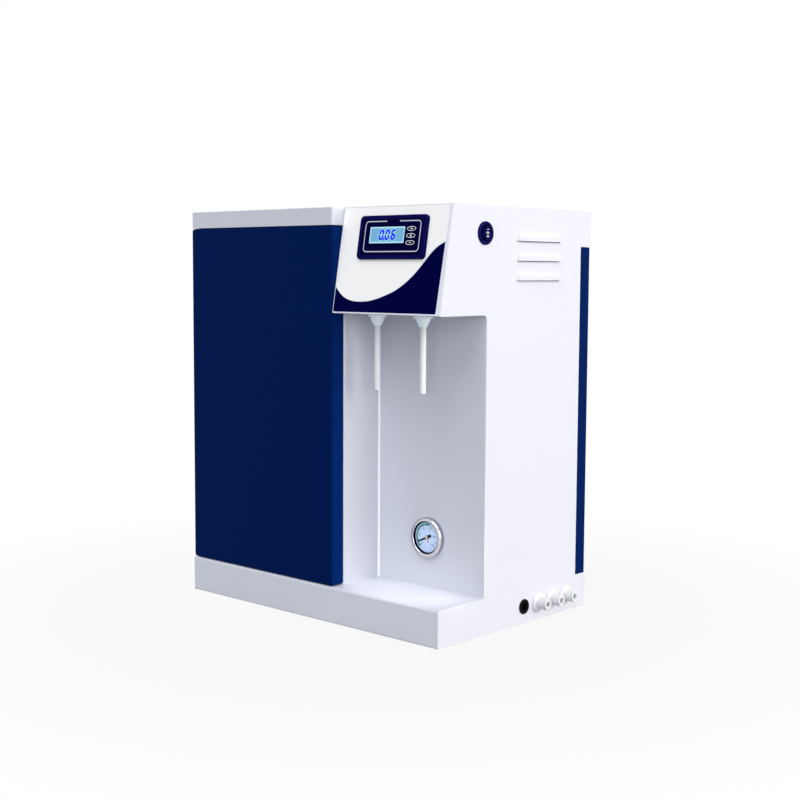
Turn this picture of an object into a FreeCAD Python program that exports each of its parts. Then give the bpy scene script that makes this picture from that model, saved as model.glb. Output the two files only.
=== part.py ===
import FreeCAD, Part
import math
import os
import Sketcher
from types import SimpleNamespace

# Ultrapure water system: a sheet-metal bench cabinet with a hinged cartridge door on the left, an open
# dispensing bay on the right under a sloped control head, and its pumps and cartridges inside.
# Millimetres. X to the right, Y to the back, Z up; the origin is on the bench under the middle.

doc = FreeCAD.newDocument("WaterSystem")
sheet = doc.addObject("Spreadsheet::Sheet", "Sizes")
vec = FreeCAD.Vector

# Driving dimensions: name, value, meaning.
sizeRows = [
    ("bodyWidth", "400", "cabinet, side to side"),
    ("bodyDepth", "268", "cabinet, front to back"),
    ("bodyHeight", "466", "cabinet, without its feet"),
    ("sheetGauge", "1.2", "thickness of the steel sheet"),
    ("foldRadius", "3", "outside radius of a visible fold"),
    ("tightFold", "2", "outside radius of a flange fold"),
    ("seamGap", "0.3", "gap where two sheets meet edge to edge"),
    ("overrun", "1", "how far a cut runs past the face it opens"),
    ("flangeDepth", "12", "width of a hidden flange"),
    ("footHeight", "6", "rubber foot, height"),
    ("footTopWidth", "22", "rubber foot, diameter at the cabinet"),
    ("footLowWidth", "19", "rubber foot, diameter at the bench"),
    ("footInset", "34", "foot centre in from the cabinet's edges"),
    ("baseHeight", "41.5", "top of the base shelf over the cabinet's underside"),
    ("compartmentShare", "0.607", "left side to the bay's left wall, as a share of the width"),
    ("bayDepth", "76.5", "front to the bay's back wall"),
    ("headHeight", "116.5", "sloped head, top to underside"),
    ("headSetback", "20", "how far the head's front leans back at the top"),
    ("notchRadius", "5", "upper rear corner of the bay in the side panel"),
    ("bandHeight", "19.5", "front band of the top cover"),
    ("lidRoundShare", "0.75", "top cover's front edge radius, as a share of the sheet's thickness"),
    ("doorDepth", "18", "depth of the door pan"),
    ("doorGap", "0.6", "gap round the closed door"),
    ("jambGap", "1.7", "gap behind the closed door at its hinged side"),
    ("latchGap", "0.8", "gap behind the closed door at its free side"),
    ("jambWidth", "20", "front flange of the bay's left wall"),
    ("doorCorner", "3.5", "corner radius of the door's face"),
    ("doorFold", "2.5", "fold radius round the door's face"),
    ("pivotInset", "5", "door pivot in from the left side"),
    ("pivotSetback", "7.5", "door pivot behind the front"),
    ("pivotPin", "4", "door pivot pin, diameter"),
    ("pivotCollar", "6.2", "door pivot collar, diameter"),
    ("pivotFit", "0.05", "radial play of the door on its pins"),
    ("pivotReach", "6", "pin length inside the door"),
    ("collarPlay", "0.2", "end play between a collar and the door"),
    ("catchWidth", "13", "magnetic catch, across"),
    ("catchHeight", "42", "magnetic catch, upright"),
    ("catchInset", "6", "catch in from the bay's left wall"),
    ("strikeGauge", "1.5", "strike plate, thickness"),
    ("strikeMargin", "4", "strike plate past the catch, each way"),
    ("catchPlay", "0.3", "gap between catch and strike"),
    ("rearReturn", "19.5", "rear cover, depth of its side returns"),
    ("rearLow", "40.3", "rear cover, lower edge over the cabinet's underside"),
    ("rearDrop", "41.2", "rear cover, upper edge under the cabinet's top"),
    ("postWidth", "14", "rear post, flange behind the cover"),
    ("louvreShare", "0.304", "louvre, front to back, as a share of the depth"),
    ("louvreHeight", "10.5", "louvre, pressed height"),
    ("louvreProud", "3.6", "louvre, how far it stands out"),
    ("louvreSlot", "0.6", "sheared gap under a louvre's lip"),
    ("louvreTaper", "4", "how much a louvre narrows to its top at each end"),
    ("louvreEnd", "1.6", "louvre's lip in from its root at each end"),
    ("louvreLip", "4.5", "height of a louvre's outer lip"),
    ("louvreRound", "3.5", "upper corner radius of a louvre"),
    ("louvreRear", "59.5", "louvre's rear end in from the rear"),
    ("louvreDrop", "79.4", "lowest louvre's lip under the cabinet's top"),
    ("louvrePitch", "21.5", "louvre to louvre"),
    ("louvreCount", "3", "number of louvres"),
    ("overlayGauge", "0.4", "fascia film, thickness"),
    ("overlayMargin", "0.7", "metal left bare round the fascia film"),
    ("overlayCorner", "1", "fascia film, corner radius"),
    ("panelMidAcross", "78.9", "controller centre from the bay's left wall"),
    ("panelMidUp", "83.4", "controller centre up the slope"),
    ("bezelWidth", "97.5", "controller bezel, across"),
    ("bezelHeight", "47.8", "controller bezel, up the slope"),
    ("bezelProud", "4", "controller bezel, thickness"),
    ("bezelCorner", "5", "controller bezel, corner radius"),
    ("bezelRound", "1.6", "controller bezel, front edge radius"),
    ("faceWidth", "87.4", "controller face, across"),
    ("faceHeight", "38.8", "controller face, up the slope"),
    ("faceCorner", "3", "controller face, corner radius"),
    ("faceRecess", "1", "controller face behind the bezel's front"),
    ("faceGauge", "1.4", "controller face, thickness"),
    ("faceFit", "0.1", "play round a piece that sits in the face or case"),
    ("lcdWidth", "50.6", "display window, across"),
    ("lcdHeight", "17.8", "display window, up the slope"),
    ("lcdAcross", "-7.5", "display centre from the controller's centre"),
    ("lcdUp", "2.4", "display centre above the controller's centre"),
    ("lcdRecess", "0.3", "display behind the face"),
    ("keyWidth", "12.8", "key, across"),
    ("keyHeight", "4.9", "key, up the slope"),
    ("keyAcross", "27.7", "key column from the controller's centre"),
    ("keyUp", "1.1", "middle key above the controller's centre"),
    ("keyPitch", "7.5", "key to key"),
    ("keyProud", "0.6", "key in front of the face"),
    ("keyLength", "2.8", "key, front to back"),
    ("keyFit", "0.15", "play round a key"),
    ("keyEdge", "0.3", "key, front edge radius"),
    ("boardGauge", "1.6", "circuit board, thickness"),
    ("caseWidth", "91", "controller case, across"),
    ("caseHeight", "42.6", "controller case, up the slope"),
    ("caseDepth", "42", "controller case, front to back"),
    ("caseWall", "1.8", "controller case, wall"),
    ("caseCorner", "1.5", "controller case, corner radius"),
    ("cutoutPlay", "0.5", "panel cutout round the controller case"),
    ("clampLength", "22", "controller clamp, front to back"),
    ("clampGauge", "3", "controller clamp, thickness"),
    ("clampHeight", "14", "controller clamp, up the slope"),
    ("switchBack", "72", "rocker switch centre behind the front"),
    ("switchDrop", "29.3", "rocker switch centre under the cabinet's top"),
    ("switchRim", "25", "rocker switch rim, diameter"),
    ("switchRimProud", "2.4", "rocker switch rim, how far it stands out"),
    ("switchBarrel", "19.8", "rocker switch barrel, diameter"),
    ("switchBore", "17.6", "rocker switch well, diameter"),
    ("switchWell", "7.4", "rocker switch well, depth"),
    ("switchLength", "21", "rocker switch behind the panel"),
    ("switchFit", "0.15", "play of the barrel in its hole"),
    ("rockerWidth", "15.2", "rocker, diameter"),
    ("rockerProud", "4.6", "rocker, how far it stands out of the panel"),
    ("rockerDeep", "4.6", "rocker, how far it reaches in"),
    ("rockerPivot", "1", "rocker axle behind the panel's face"),
    ("rockerAxle", "2.4", "rocker axle, diameter"),
    ("rockerAxleLength", "18.6", "rocker axle, end to end"),
    ("rockerDish", "36", "radius of the dish in the rocker's face"),
    ("rockerDishDepth", "0.9", "depth of the dish in the rocker's face"),
    ("rockerEdge", "0.7", "rocker, edge radius"),
    ("axleFit", "0.05", "radial play of small axles"),
    ("bladeWidth", "6.3", "switch terminal, width"),
    ("bladeGauge", "0.8", "switch terminal, thickness"),
    ("bladeLength", "9", "switch terminal, length"),
    ("bladePitch", "7", "switch terminal to terminal"),
    ("gaugeAcross", "77.4", "pressure gauge centre from the bay's left wall"),
    ("gaugeUp", "98.6", "pressure gauge centre over the cabinet's underside"),
    ("gaugeBezelWidth", "45.5", "gauge bezel, diameter"),
    ("gaugeOpening", "36.6", "gauge bezel, opening"),
    ("gaugeProud", "6.4", "gauge bezel, how far it stands out"),
    ("gaugeLipBack", "5.2", "gauge lens, front face over the wall"),
    ("gaugeRoll", "2", "gauge bezel, rolled edge radius"),
    ("gaugeCaseWidth", "40.8", "gauge case, diameter"),
    ("gaugeCaseDeep", "26", "gauge case behind the wall"),
    ("gaugeCaseWall", "0.8", "gauge case, wall"),
    ("gaugeFit", "0.2", "play of the gauge case in the wall and bezel"),
    ("lensGauge", "1", "gauge lens, thickness"),
    ("dialFace", "3.2", "gauge dial, face over the wall"),
    ("dialGauge", "0.5", "gauge dial, thickness"),
    ("pointerLift", "0.3", "gauge pointer over the dial"),
    ("pointerGauge", "0.3", "gauge pointer, thickness"),
    ("pointerReach", "15.2", "gauge pointer, pivot to tip"),
    ("pointerTail", "7", "gauge pointer, pivot to tail end"),
    ("pointerTipWidth", "1.2", "gauge pointer, width at the tip"),
    ("pointerRootWidth", "2.4", "gauge pointer, width at the hub"),
    ("pointerTailWidth", "3.3", "gauge pointer, width of the tail end"),
    ("pointerHub", "4.4", "gauge pointer hub, diameter"),
    ("pointerShaft", "1.6", "gauge pointer shaft, diameter"),
    ("pointerShaftDeep", "10", "gauge pointer shaft behind the dial's face"),
    ("movementWidth", "22", "gauge movement, across"),
    ("movementHeight", "16", "gauge movement, upright"),
    ("movementFront", "4", "gauge movement behind the wall's face"),
    ("movementDeep", "18", "gauge movement's back behind the wall's face"),
    ("socketThread", "9.7", "gauge socket thread, diameter"),
    ("socketHex", "14", "gauge socket, across flats"),
    ("socketHexLength", "9", "gauge socket hexagon, length"),
    ("socketLength", "20", "gauge socket behind its case"),
    ("nozzleLeftAcross", "36.7", "left nozzle from the bay's left wall"),
    ("nozzleRightAcross", "104", "right nozzle from the bay's left wall"),
    ("nozzleBack", "34", "nozzles behind the front"),
    ("nozzleFlange", "20.8", "nozzle flange, diameter"),
    ("nozzleFlangeHeight", "3.8", "nozzle flange, height"),
    ("nozzleShoulder", "15.4", "nozzle cone's upper end, diameter"),
    ("nozzleStep", "2.2", "straight step between a nozzle's flange and its cone"),
    ("nozzleTip", "8.6", "nozzle cone's lower end, diameter"),
    ("nozzleHeight", "13", "nozzle below the head"),
    ("nozzleShank", "12", "nozzle shank, diameter"),
    ("nozzleShankHeight", "14", "nozzle shank above the head's underside"),
    ("nozzleSeat", "3", "spout tube's seat below the head"),
    ("nozzleFit", "0.15", "play of the shank in its hole"),
    ("spoutWidth", "7", "spout tube, outside diameter"),
    ("spoutBore", "4.6", "spout tube, bore"),
    ("spoutLength", "84.5", "spout tube's lower end below the head"),
    ("spoutFit", "0.05", "radial play of the spout tube in the nozzle"),
    ("nozzleNutFlats", "17", "nozzle nut, across flats"),
    ("nozzleNutHeight", "4", "nozzle nut, height"),
    ("portUp", "19.5", "tube ports over the cabinet's underside"),
    ("portRear", "40", "rearmost tube port in from the rear"),
    ("portPitch", "26", "tube port to tube port"),
    ("portReach", "14.5", "tube ports out from the side panel"),
    ("portFlange", "22.4", "port flange, diameter"),
    ("portFlangeEdge", "1.6", "port flange, edge thickness"),
    ("portFlangeDome", "3.4", "port flange, thickness at the body"),
    ("portBody", "13.5", "port body, diameter"),
    ("portMouth", "10.6", "port mouth, diameter"),
    ("portMouthDeep", "5.2", "port mouth's floor over the panel"),
    ("portTube", "6.5", "port tube seat, diameter"),
    ("portTubeDeep", "2", "port tube seat behind the panel's face"),
    ("portFlow", "4", "port flow passage, diameter"),
    ("portShank", "13.4", "port shank, diameter"),
    ("portShankDeep", "20", "port shank behind the panel's face"),
    ("portFit", "0.2", "play of a port shank in its hole"),
    ("portNutFlats", "17", "port nut, across flats"),
    ("portNutHeight", "5", "port nut, height"),
    ("colletWidth", "10.4", "collet, diameter"),
    ("colletBore", "6.5", "collet, bore"),
    ("colletFlange", "12", "collet flange, diameter"),
    ("colletFlangeGauge", "1.2", "collet flange, thickness"),
    ("colletTravel", "1", "how far a collet pushes in"),
    ("colletPlay", "0.1", "gap left under a collet's flange when it is pushed in"),
    ("grommetAhead", "27.3", "cable grommet in front of the first port"),
    ("grommetUp", "19.6", "cable grommet over the cabinet's underside"),
    ("grommetFlange", "17", "grommet flange, diameter"),
    ("grommetProud", "1.6", "grommet flange, thickness"),
    ("grommetGroove", "14.4", "grommet groove, diameter"),
    ("grommetInner", "16.6", "grommet inner flange, diameter"),
    ("grommetInnerGauge", "2.6", "grommet inner flange, thickness"),
    ("grommetBore", "8.4", "grommet, bore"),
    ("rackFront", "104", "cartridge rack behind the front"),
    ("rackDrop", "94.5", "cartridge rack's top under the cabinet's top"),
    ("rackInset", "12", "cartridge rack in from the left side"),
    ("rackEndGap", "17", "cartridge rack in from the bay's left wall"),
    ("inlineWidth", "50", "inline cartridge, diameter"),
    ("inlineDrop", "86.5", "inline cartridge's upper end under the cabinet's top"),
    ("inlineNeck", "15", "inline cartridge neck, diameter"),
    ("inlineNeckLength", "12", "inline cartridge neck, length"),
    ("inlineShoulder", "8", "inline cartridge, shoulder height"),
    ("inlineRise", "62", "inline cartridge's lower shoulder over the shelf"),
    ("housingWidth", "60", "pressure housing, diameter"),
    ("housingLength", "270", "pressure housing, end to end"),
    ("housingCap", "68", "pressure housing cap, diameter"),
    ("housingCapHeight", "34", "pressure housing cap, height"),
    ("housingGrooveDeep", "1.6", "grip groove in a housing cap, depth"),
    ("housingGrooveWidth", "4", "grip groove in a housing cap, width"),
    ("housingGrooves", "24", "grip grooves round a housing cap"),
    ("clipGauge", "1.6", "cartridge clip, thickness"),
    ("clipHeight", "16", "cartridge clip, upright"),
    ("clipFit", "0.2", "play between a clip and its cartridge"),
    ("clipStandoff", "5", "cartridge's side from the rack"),
    ("clipOpenShare", "0.55", "half opening of a clip, as a share of its radius"),
    ("clipLowRise", "50", "lower clips over a cartridge's lower end"),
    ("clipDrop", "40", "upper clips under a cartridge's shoulder or cap"),
    ("pumpUp", "42", "booster pump centre line over the deck"),
    ("motorWidth", "62", "pump motor, diameter"),
    ("pumpGap", "13.5", "pump head behind the gauge's socket"),
    ("motorRear", "14", "pump motor's rear end in from the rear"),
    ("pumpHeadWidth", "74", "pump head, across"),
    ("pumpHeadLength", "36", "pump head, front to back"),
    ("pumpHeadRound", "9", "pump head, corner radius"),
    ("pumpPortWidth", "14", "pump head port, diameter"),
    ("pumpPortReach", "14", "pump head port, length"),
    ("cradleGauge", "2", "pump cradle, plate"),
    ("cradleWidth", "66", "pump cradle, across"),
    ("bushWidth", "16", "rubber bush, diameter"),
    ("supplyLength", "98", "power supply, front to back"),
    ("supplyHeight", "60", "power supply, upright"),
    ("supplyWidth", "38", "power supply, out from the side panel"),
    ("supplyDrop", "71.5", "power supply's top under the head's underside"),
    ("supplyGap", "4", "power supply behind the bay back wall's flange"),
    ("supplyFin", "2.4", "power supply fin, width"),
    ("supplyFinDeep", "3", "power supply fin groove, depth"),
    ("supplyFins", "10", "power supply fin grooves"),
    ("valveAcross", "22", "inlet valve from the bay's left wall"),
    ("valveBack", "104", "inlet valve behind the front"),
    ("valveBodyWidth", "34", "inlet valve body, across"),
    ("valveBodyHeight", "20", "inlet valve body, height"),
    ("valveBodyDepth", "24", "inlet valve body, front to back"),
    ("valveCoilWidth", "26", "inlet valve coil, diameter"),
    ("valveCoilHeight", "28", "inlet valve coil, height"),
    ("valveStandoff", "8", "inlet valve body over the deck"),
    ("tubeWidth", "6.35", "inner tubing, outside diameter"),
    ("tubeRise", "26", "inner tubing, straight rise out of a neck"),
    ("bendShare", "0.42", "tubing bend's start along its shorter run, as a share"),
    ("saddleDrop", "12", "pump saddle's top under the motor's centre line"),
    ("tubeLoop", "34", "tubing crossing, height over the cartridges"),
    ("deckHole", "14", "hole in the deck for the tubing, diameter"),
    ("pointerRest", "205", "gauge pointer at rest, degrees from the right"),
    ("rimRoundShare", "0.6", "edge radius of the switch rim, as a share of its thickness"),
]


# A length with the text that the expressions use and its present value.
class Size:
    def __init__(self, text, value):
        self.text = text
        self.value = value

    def __add__(self, other):
        other = asSize(other)
        return Size(f"({self.text} + {other.text})", self.value + other.value)

    def __radd__(self, other):
        return asSize(other) + self

    def __sub__(self, other):
        other = asSize(other)
        return Size(f"({self.text} - {other.text})", self.value - other.value)

    def __rsub__(self, other):
        return asSize(other) - self

    def __mul__(self, other):
        other = asSize(other)
        return Size(f"({self.text} * {other.text})", self.value * other.value)

    def __rmul__(self, other):
        return asSize(other) * self

    def __truediv__(self, other):
        other = asSize(other)
        return Size(f"({self.text} / {other.text})", self.value / other.value)

    def __neg__(self):
        return Size(f"(0 - {self.text})", -self.value)


def asSize(thing):
    if isinstance(thing, Size):
        return thing
    return Size(f"{thing}", thing)


def root(size):
    return Size(f"sqrt({size.text})", math.sqrt(size.value))


def slopeAngle(run, rise):
    return Size(f"atan({run.text} / {rise.text})", math.degrees(math.atan(run.value / rise.value)))


def readSizes(rows):
    named = SimpleNamespace()
    for number, (alias, content, meaning) in enumerate(rows, start=1):
        sheet.set(f"A{number}", alias)
        sheet.set(f"B{number}", content)
        sheet.set(f"C{number}", meaning)
        sheet.setAlias(f"B{number}", alias)
    doc.recompute()
    for alias, content, meaning in rows:
        setattr(named, alias, Size(f"Sizes.{alias}", float(sheet.get(alias))))
    return named


s = readSizes(sizeRows)
subParts = []
cutTolerance = 0.000001


def bind(thing, path, size):
    thing.setExpression(path, asSize(size).text)


def newBody(label):
    body = doc.addObject("PartDesign::Body", label)
    body.Label = label
    subParts.append(body)
    return body


def place(thing, x, y, z, axis=None, angle=0):
    spin = FreeCAD.Rotation(vec(*(axis or (0, 0, 1))), asSize(angle).value)
    base = vec(asSize(x).value, asSize(y).value, asSize(z).value)
    thing.Placement = FreeCAD.Placement(base, spin)
    bind(thing, ".Placement.Base.x", x)
    bind(thing, ".Placement.Base.y", y)
    bind(thing, ".Placement.Base.z", z)
    if isinstance(angle, Size):
        bind(thing, ".Placement.Rotation.Angle", angle)


def originPlane(body, role):
    for feature in body.Origin.OriginFeatures:
        if feature.Role == role:
            return feature


# A sketch on an origin plane of its body, moved along that plane's axis to the given place.
def newSketch(body, role, offset=0):
    sketch = body.newObject("Sketcher::SketchObject", f"{body.Name}_sketch")
    sketch.AttachmentSupport = [(originPlane(body, role), "")]
    sketch.MapMode = "FlatFace"
    offset = asSize(offset)
    if role == "XZ_Plane":
        offset = -offset
    bind(sketch, ".AttachmentOffset.Base.z", offset)
    return sketch


def towards(start, end):
    return (end - start).normalize()


# A closed outline through corners of (across, up) or (across, up, radius), every one held by its sizes.
def drawOutline(sketch, corners):
    corners = [[asSize(number) for number in corner] for corner in corners]
    points = [vec(corner[0].value, corner[1].value, 0) for corner in corners]
    count = len(corners)
    lineStarts = []
    lineEnds = []
    arcs = {}
    for index, corner in enumerate(corners):
        here = points[index]
        if len(corner) == 2:
            lineStarts.append(here)
            lineEnds.append(here)
            continue
        radius = corner[2].value
        back = towards(here, points[index - 1])
        ahead = towards(here, points[(index + 1) % count])
        half = back.getAngle(ahead) / 2
        reach = radius / math.tan(half)
        middle = here + (back + ahead).normalize() * (radius / math.sin(half))
        arriving = here + back * reach
        leaving = here + ahead * reach
        lineEnds.append(arriving)
        lineStarts.append(leaving)
        arcs[index] = (middle, radius, arriving, leaving)
    lines = []
    for index in range(count):
        segment = Part.LineSegment(lineStarts[index], lineEnds[(index + 1) % count])
        lines.append(sketch.addGeometry(segment, False))
    rules = []
    sized = []

    def pin(geometry, corner):
        for kind, number in (("DistanceX", corner[0]), ("DistanceY", corner[1])):
            sized.append((len(rules), number))
            rules.append(Sketcher.Constraint(kind, -1, 1, geometry, 1, number.value))

    for index, corner in enumerate(corners):
        before = lines[index - 1]
        after = lines[index]
        if index not in arcs:
            rules.append(Sketcher.Constraint("Coincident", before, 2, after, 1))
            pin(after, corner)
            continue
        middle, radius, arriving, leaving = arcs[index]
        first = math.atan2(arriving.y - middle.y, arriving.x - middle.x)
        last = math.atan2(leaving.y - middle.y, leaving.x - middle.x)
        turnsLeft = (arriving - middle).cross(leaving - middle).z > 0
        ends = (1, 2) if turnsLeft else (2, 1)
        if not turnsLeft:
            first, last = last, first
        if last < first:
            last += 2 * math.pi
        circle = Part.Circle(middle, vec(0, 0, 1), radius)
        arc = sketch.addGeometry(Part.ArcOfCircle(circle, first, last), False)
        corner0 = sketch.addGeometry(Part.Point(points[index]), True)
        pin(corner0, corner)
        rules.append(Sketcher.Constraint("PointOnObject", corner0, 1, before))
        rules.append(Sketcher.Constraint("PointOnObject", corner0, 1, after))
        rules.append(Sketcher.Constraint("Tangent", before, 2, arc, ends[0]))
        rules.append(Sketcher.Constraint("Tangent", after, 1, arc, ends[1]))
        sized.append((len(rules), corner[2]))
        rules.append(Sketcher.Constraint("Radius", arc, radius))
    offset = sketch.ConstraintCount
    sketch.addConstraint(rules)
    for number, size in sized:
        bind(sketch, f"Constraints[{offset + number}]", size)


def drawCircle(sketch, across, up, diameter):
    across, up, diameter = asSize(across), asSize(up), asSize(diameter)
    circle = Part.Circle(vec(across.value, up.value, 0), vec(0, 0, 1), diameter.value / 2)
    index = sketch.addGeometry(circle, False)
    offset = sketch.ConstraintCount
    sketch.addConstraint([
        Sketcher.Constraint("DistanceX", -1, 1, index, 3, across.value),
        Sketcher.Constraint("DistanceY", -1, 1, index, 3, up.value),
        Sketcher.Constraint("Diameter", index, diameter.value),
    ])
    for number, size in enumerate((across, up, diameter)):
        bind(sketch, f"Constraints[{offset + number}]", size)


# An upright oval, held by its centre and both diameters.
def drawOval(sketch, across, up, width, height):
    across, up, width, height = asSize(across), asSize(up), asSize(width), asSize(height)
    middle = vec(across.value, up.value, 0)
    oval = Part.Ellipse(middle + vec(width.value / 2, 0, 0), middle + vec(0, height.value / 2, 0), middle)
    index = sketch.addGeometry(oval, False)
    sketch.exposeInternalGeometry(index)
    longAxis = index + 1
    shortAxis = index + 2
    offset = sketch.ConstraintCount
    sketch.addConstraint([
        Sketcher.Constraint("DistanceX", -1, 1, index, 3, across.value),
        Sketcher.Constraint("DistanceY", -1, 1, index, 3, up.value),
        Sketcher.Constraint("Distance", longAxis, width.value),
        Sketcher.Constraint("Distance", shortAxis, height.value),
        Sketcher.Constraint("Horizontal", longAxis),
    ])
    for number, size in enumerate((across, up, width, height)):
        bind(sketch, f"Constraints[{offset + number}]", size)


# Corners of an upright rectangle, all with one radius if there is one.
def rectangle(x0, y0, x1, y1, radius=None):
    tail = () if radius is None else (radius,)
    return [(x0, y0) + tail, (x1, y0) + tail, (x1, y1) + tail, (x0, y1) + tail]


def midRectangle(midX, midY, width, height, radius=None):
    return rectangle(midX - width / 2, midY - height / 2, midX + width / 2, midY + height / 2, radius)


# Pads run up, to the right or to the back unless they are reversed; cuts run down, left or to the back.
def pad(body, sketch, length, reverse=False, middle=False):
    feature = body.newObject("PartDesign::Pad", f"{body.Name}_pad")
    feature.Profile = sketch
    bind(feature, "Length", length)
    facesFront = sketch.AttachmentSupport[0][0].Role == "XZ_Plane"
    feature.Reversed = facesFront != reverse
    feature.Midplane = middle
    doc.recompute()
    return feature


# A cut has to take something away, so the volume is compared.
def checkCut(body, before):
    doc.recompute()
    if math.isclose(body.Shape.Volume, before, rel_tol=cutTolerance):
        raise ValueError(f"{body.Label}: a cut took nothing away")


def pocket(body, sketch, depth, reverse=False, middle=False):
    before = body.Shape.Volume
    feature = body.newObject("PartDesign::Pocket", f"{body.Name}_pocket")
    feature.Profile = sketch
    bind(feature, "Length", depth)
    feature.Reversed = reverse
    feature.Midplane = middle
    checkCut(body, before)
    return feature


def revolve(body, corners):
    sketch = newSketch(body, "XZ_Plane")
    drawOutline(sketch, corners)
    feature = body.newObject("PartDesign::Revolution", f"{body.Name}_turn")
    feature.Profile = sketch
    feature.ReferenceAxis = (sketch, ["V_Axis"])
    feature.Angle = 360
    doc.recompute()
    return feature


def edgesThrough(shape, points):
    found = []
    for point in points:
        corner = Part.Vertex(vec(*[asSize(number).value for number in point]))
        gaps = [(edge.distToShape(corner)[0], number) for number, edge in enumerate(shape.Edges, start=1)]
        found.append(f"Edge{min(gaps)[1]}")
    return found


def roundEdges(body, points, radius, kind="Fillet"):
    base = body.Tip
    feature = body.newObject(f"PartDesign::{kind}", f"{body.Name}_{kind.lower()}")
    feature.Base = (base, edgesThrough(base.Shape, points))
    bind(feature, "Radius" if kind == "Fillet" else "Size", radius)
    doc.recompute()
    return feature


def block(name, x0, y0, z0, x1, y1, z1):
    thing = doc.addObject("Part::Box", name)
    bind(thing, "Length", asSize(x1) - x0)
    bind(thing, "Width", asSize(y1) - y0)
    bind(thing, "Height", asSize(z1) - z0)
    place(thing, x0, y0, z0)
    return thing


def rod(name, x, y, z, diameter, length, axis=None, angle=0):
    thing = doc.addObject("Part::Cylinder", name)
    bind(thing, "Radius", asSize(diameter) / 2)
    bind(thing, "Height", length)
    place(thing, x, y, z, axis, angle)
    return thing


def hexagon(name, x, y, z, flats, length, axis=None, angle=0):
    thing = doc.addObject("Part::Prism", name)
    thing.Polygon = 6
    bind(thing, "Circumradius", flats / root(asSize(3)))
    bind(thing, "Height", length)
    place(thing, x, y, z, axis, angle)
    return thing


def joined(name, things):
    thing = doc.addObject("Part::MultiFuse", name)
    thing.Shapes = things
    return thing


def cutAway(name, base, tool):
    doc.recompute()
    thing = doc.addObject("Part::Cut", name)
    thing.Base = base
    thing.Tool = tool
    checkCut(thing, base.Shape.Volume)
    return thing


def grouped(name, things):
    thing = doc.addObject("Part::Compound", name)
    thing.Links = things
    return thing


def keep(thing, label):
    thing.Label = label
    subParts.append(thing)
    return thing


# Places that the pieces share.
gauge = s.sheetGauge
left = -(s.bodyWidth + s.portReach) / 2
right = left + s.bodyWidth
front = -s.bodyDepth / 2
rear = s.bodyDepth / 2
under = s.footHeight
top = under + s.bodyHeight
shelf = under + s.baseHeight
headRise = s.headHeight
headLow = top - headRise
division = left + s.bodyWidth * s.compartmentShare
headWidth = right - division
bayWall = front + s.bayDepth
hingeJamb = front + s.doorDepth + s.jambGap
latchJamb = front + s.doorDepth + s.latchGap
bandLow = top - s.bandHeight
rearLow = under + s.rearLow
rearHigh = top - s.rearDrop
rearReturnEdge = rear - s.rearReturn
innerTight = s.tightFold - gauge
innerFold = s.foldRadius - gauge
slopeLength = root(headRise * headRise + s.headSetback * s.headSetback)
slopeTilt = slopeAngle(s.headSetback, headRise)
slopeGauge = gauge * slopeLength / headRise
deckFront = bayWall + s.flangeDepth
pumpStart = bayWall + s.gaugeCaseDeep + s.socketLength + s.pumpGap
motorStart = pumpStart + s.pumpHeadLength
motorLength = rear - s.motorRear - motorStart
rackFace = front + s.rackFront
rackStart = left + s.rackInset
rackWidth = division - s.rackEndGap - rackStart
portNames = ("drain", "pure", "feed")
inlineNames = ("sediment", "carbon", "softening")
housingNames = ("membrane", "polishing")


def slopeFront(height):
    return front + s.headSetback * (height - headLow) / headRise


# The ports stand in a row that ends near the rear.
def portPlace(number):
    return rear - s.portRear - (len(portNames) - 1 - number) * s.portPitch


def grommetPlace():
    return portPlace(0) - s.grommetAhead


# Notch for the rear cover's return, the same in both side panels.
def rearNotch():
    edge = rearReturnEdge - s.seamGap
    low = rearLow - s.seamGap
    high = rearHigh + s.seamGap
    return [(rear, under), (rear, low), (edge, low), (edge, high), (rear, high), (rear, top)]


def makeRightSidePanel():
    panel = newBody("right_side_panel")
    outline = newSketch(panel, "YZ_Plane", right - gauge)
    drawOutline(outline, [(front, under)] + rearNotch() + [
        (front + s.headSetback, top),
        (front, headLow),
        (bayWall, headLow, s.notchRadius),
        (bayWall, shelf),
        (front, shelf),
    ])
    pad(panel, outline, gauge)
    holes = newSketch(panel, "YZ_Plane", right)
    drawCircle(holes, front + s.switchBack, top - s.switchDrop, s.switchBarrel + 2 * s.switchFit)
    drawCircle(holes, grommetPlace(), under + s.grommetUp, s.grommetGroove + 2 * s.portFit)
    for number in range(len(portNames)):
        drawCircle(holes, portPlace(number), under + s.portUp, s.portShank + 2 * s.portFit)
    pocket(panel, holes, gauge + s.overrun)
    makeLouvres(panel)


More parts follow.
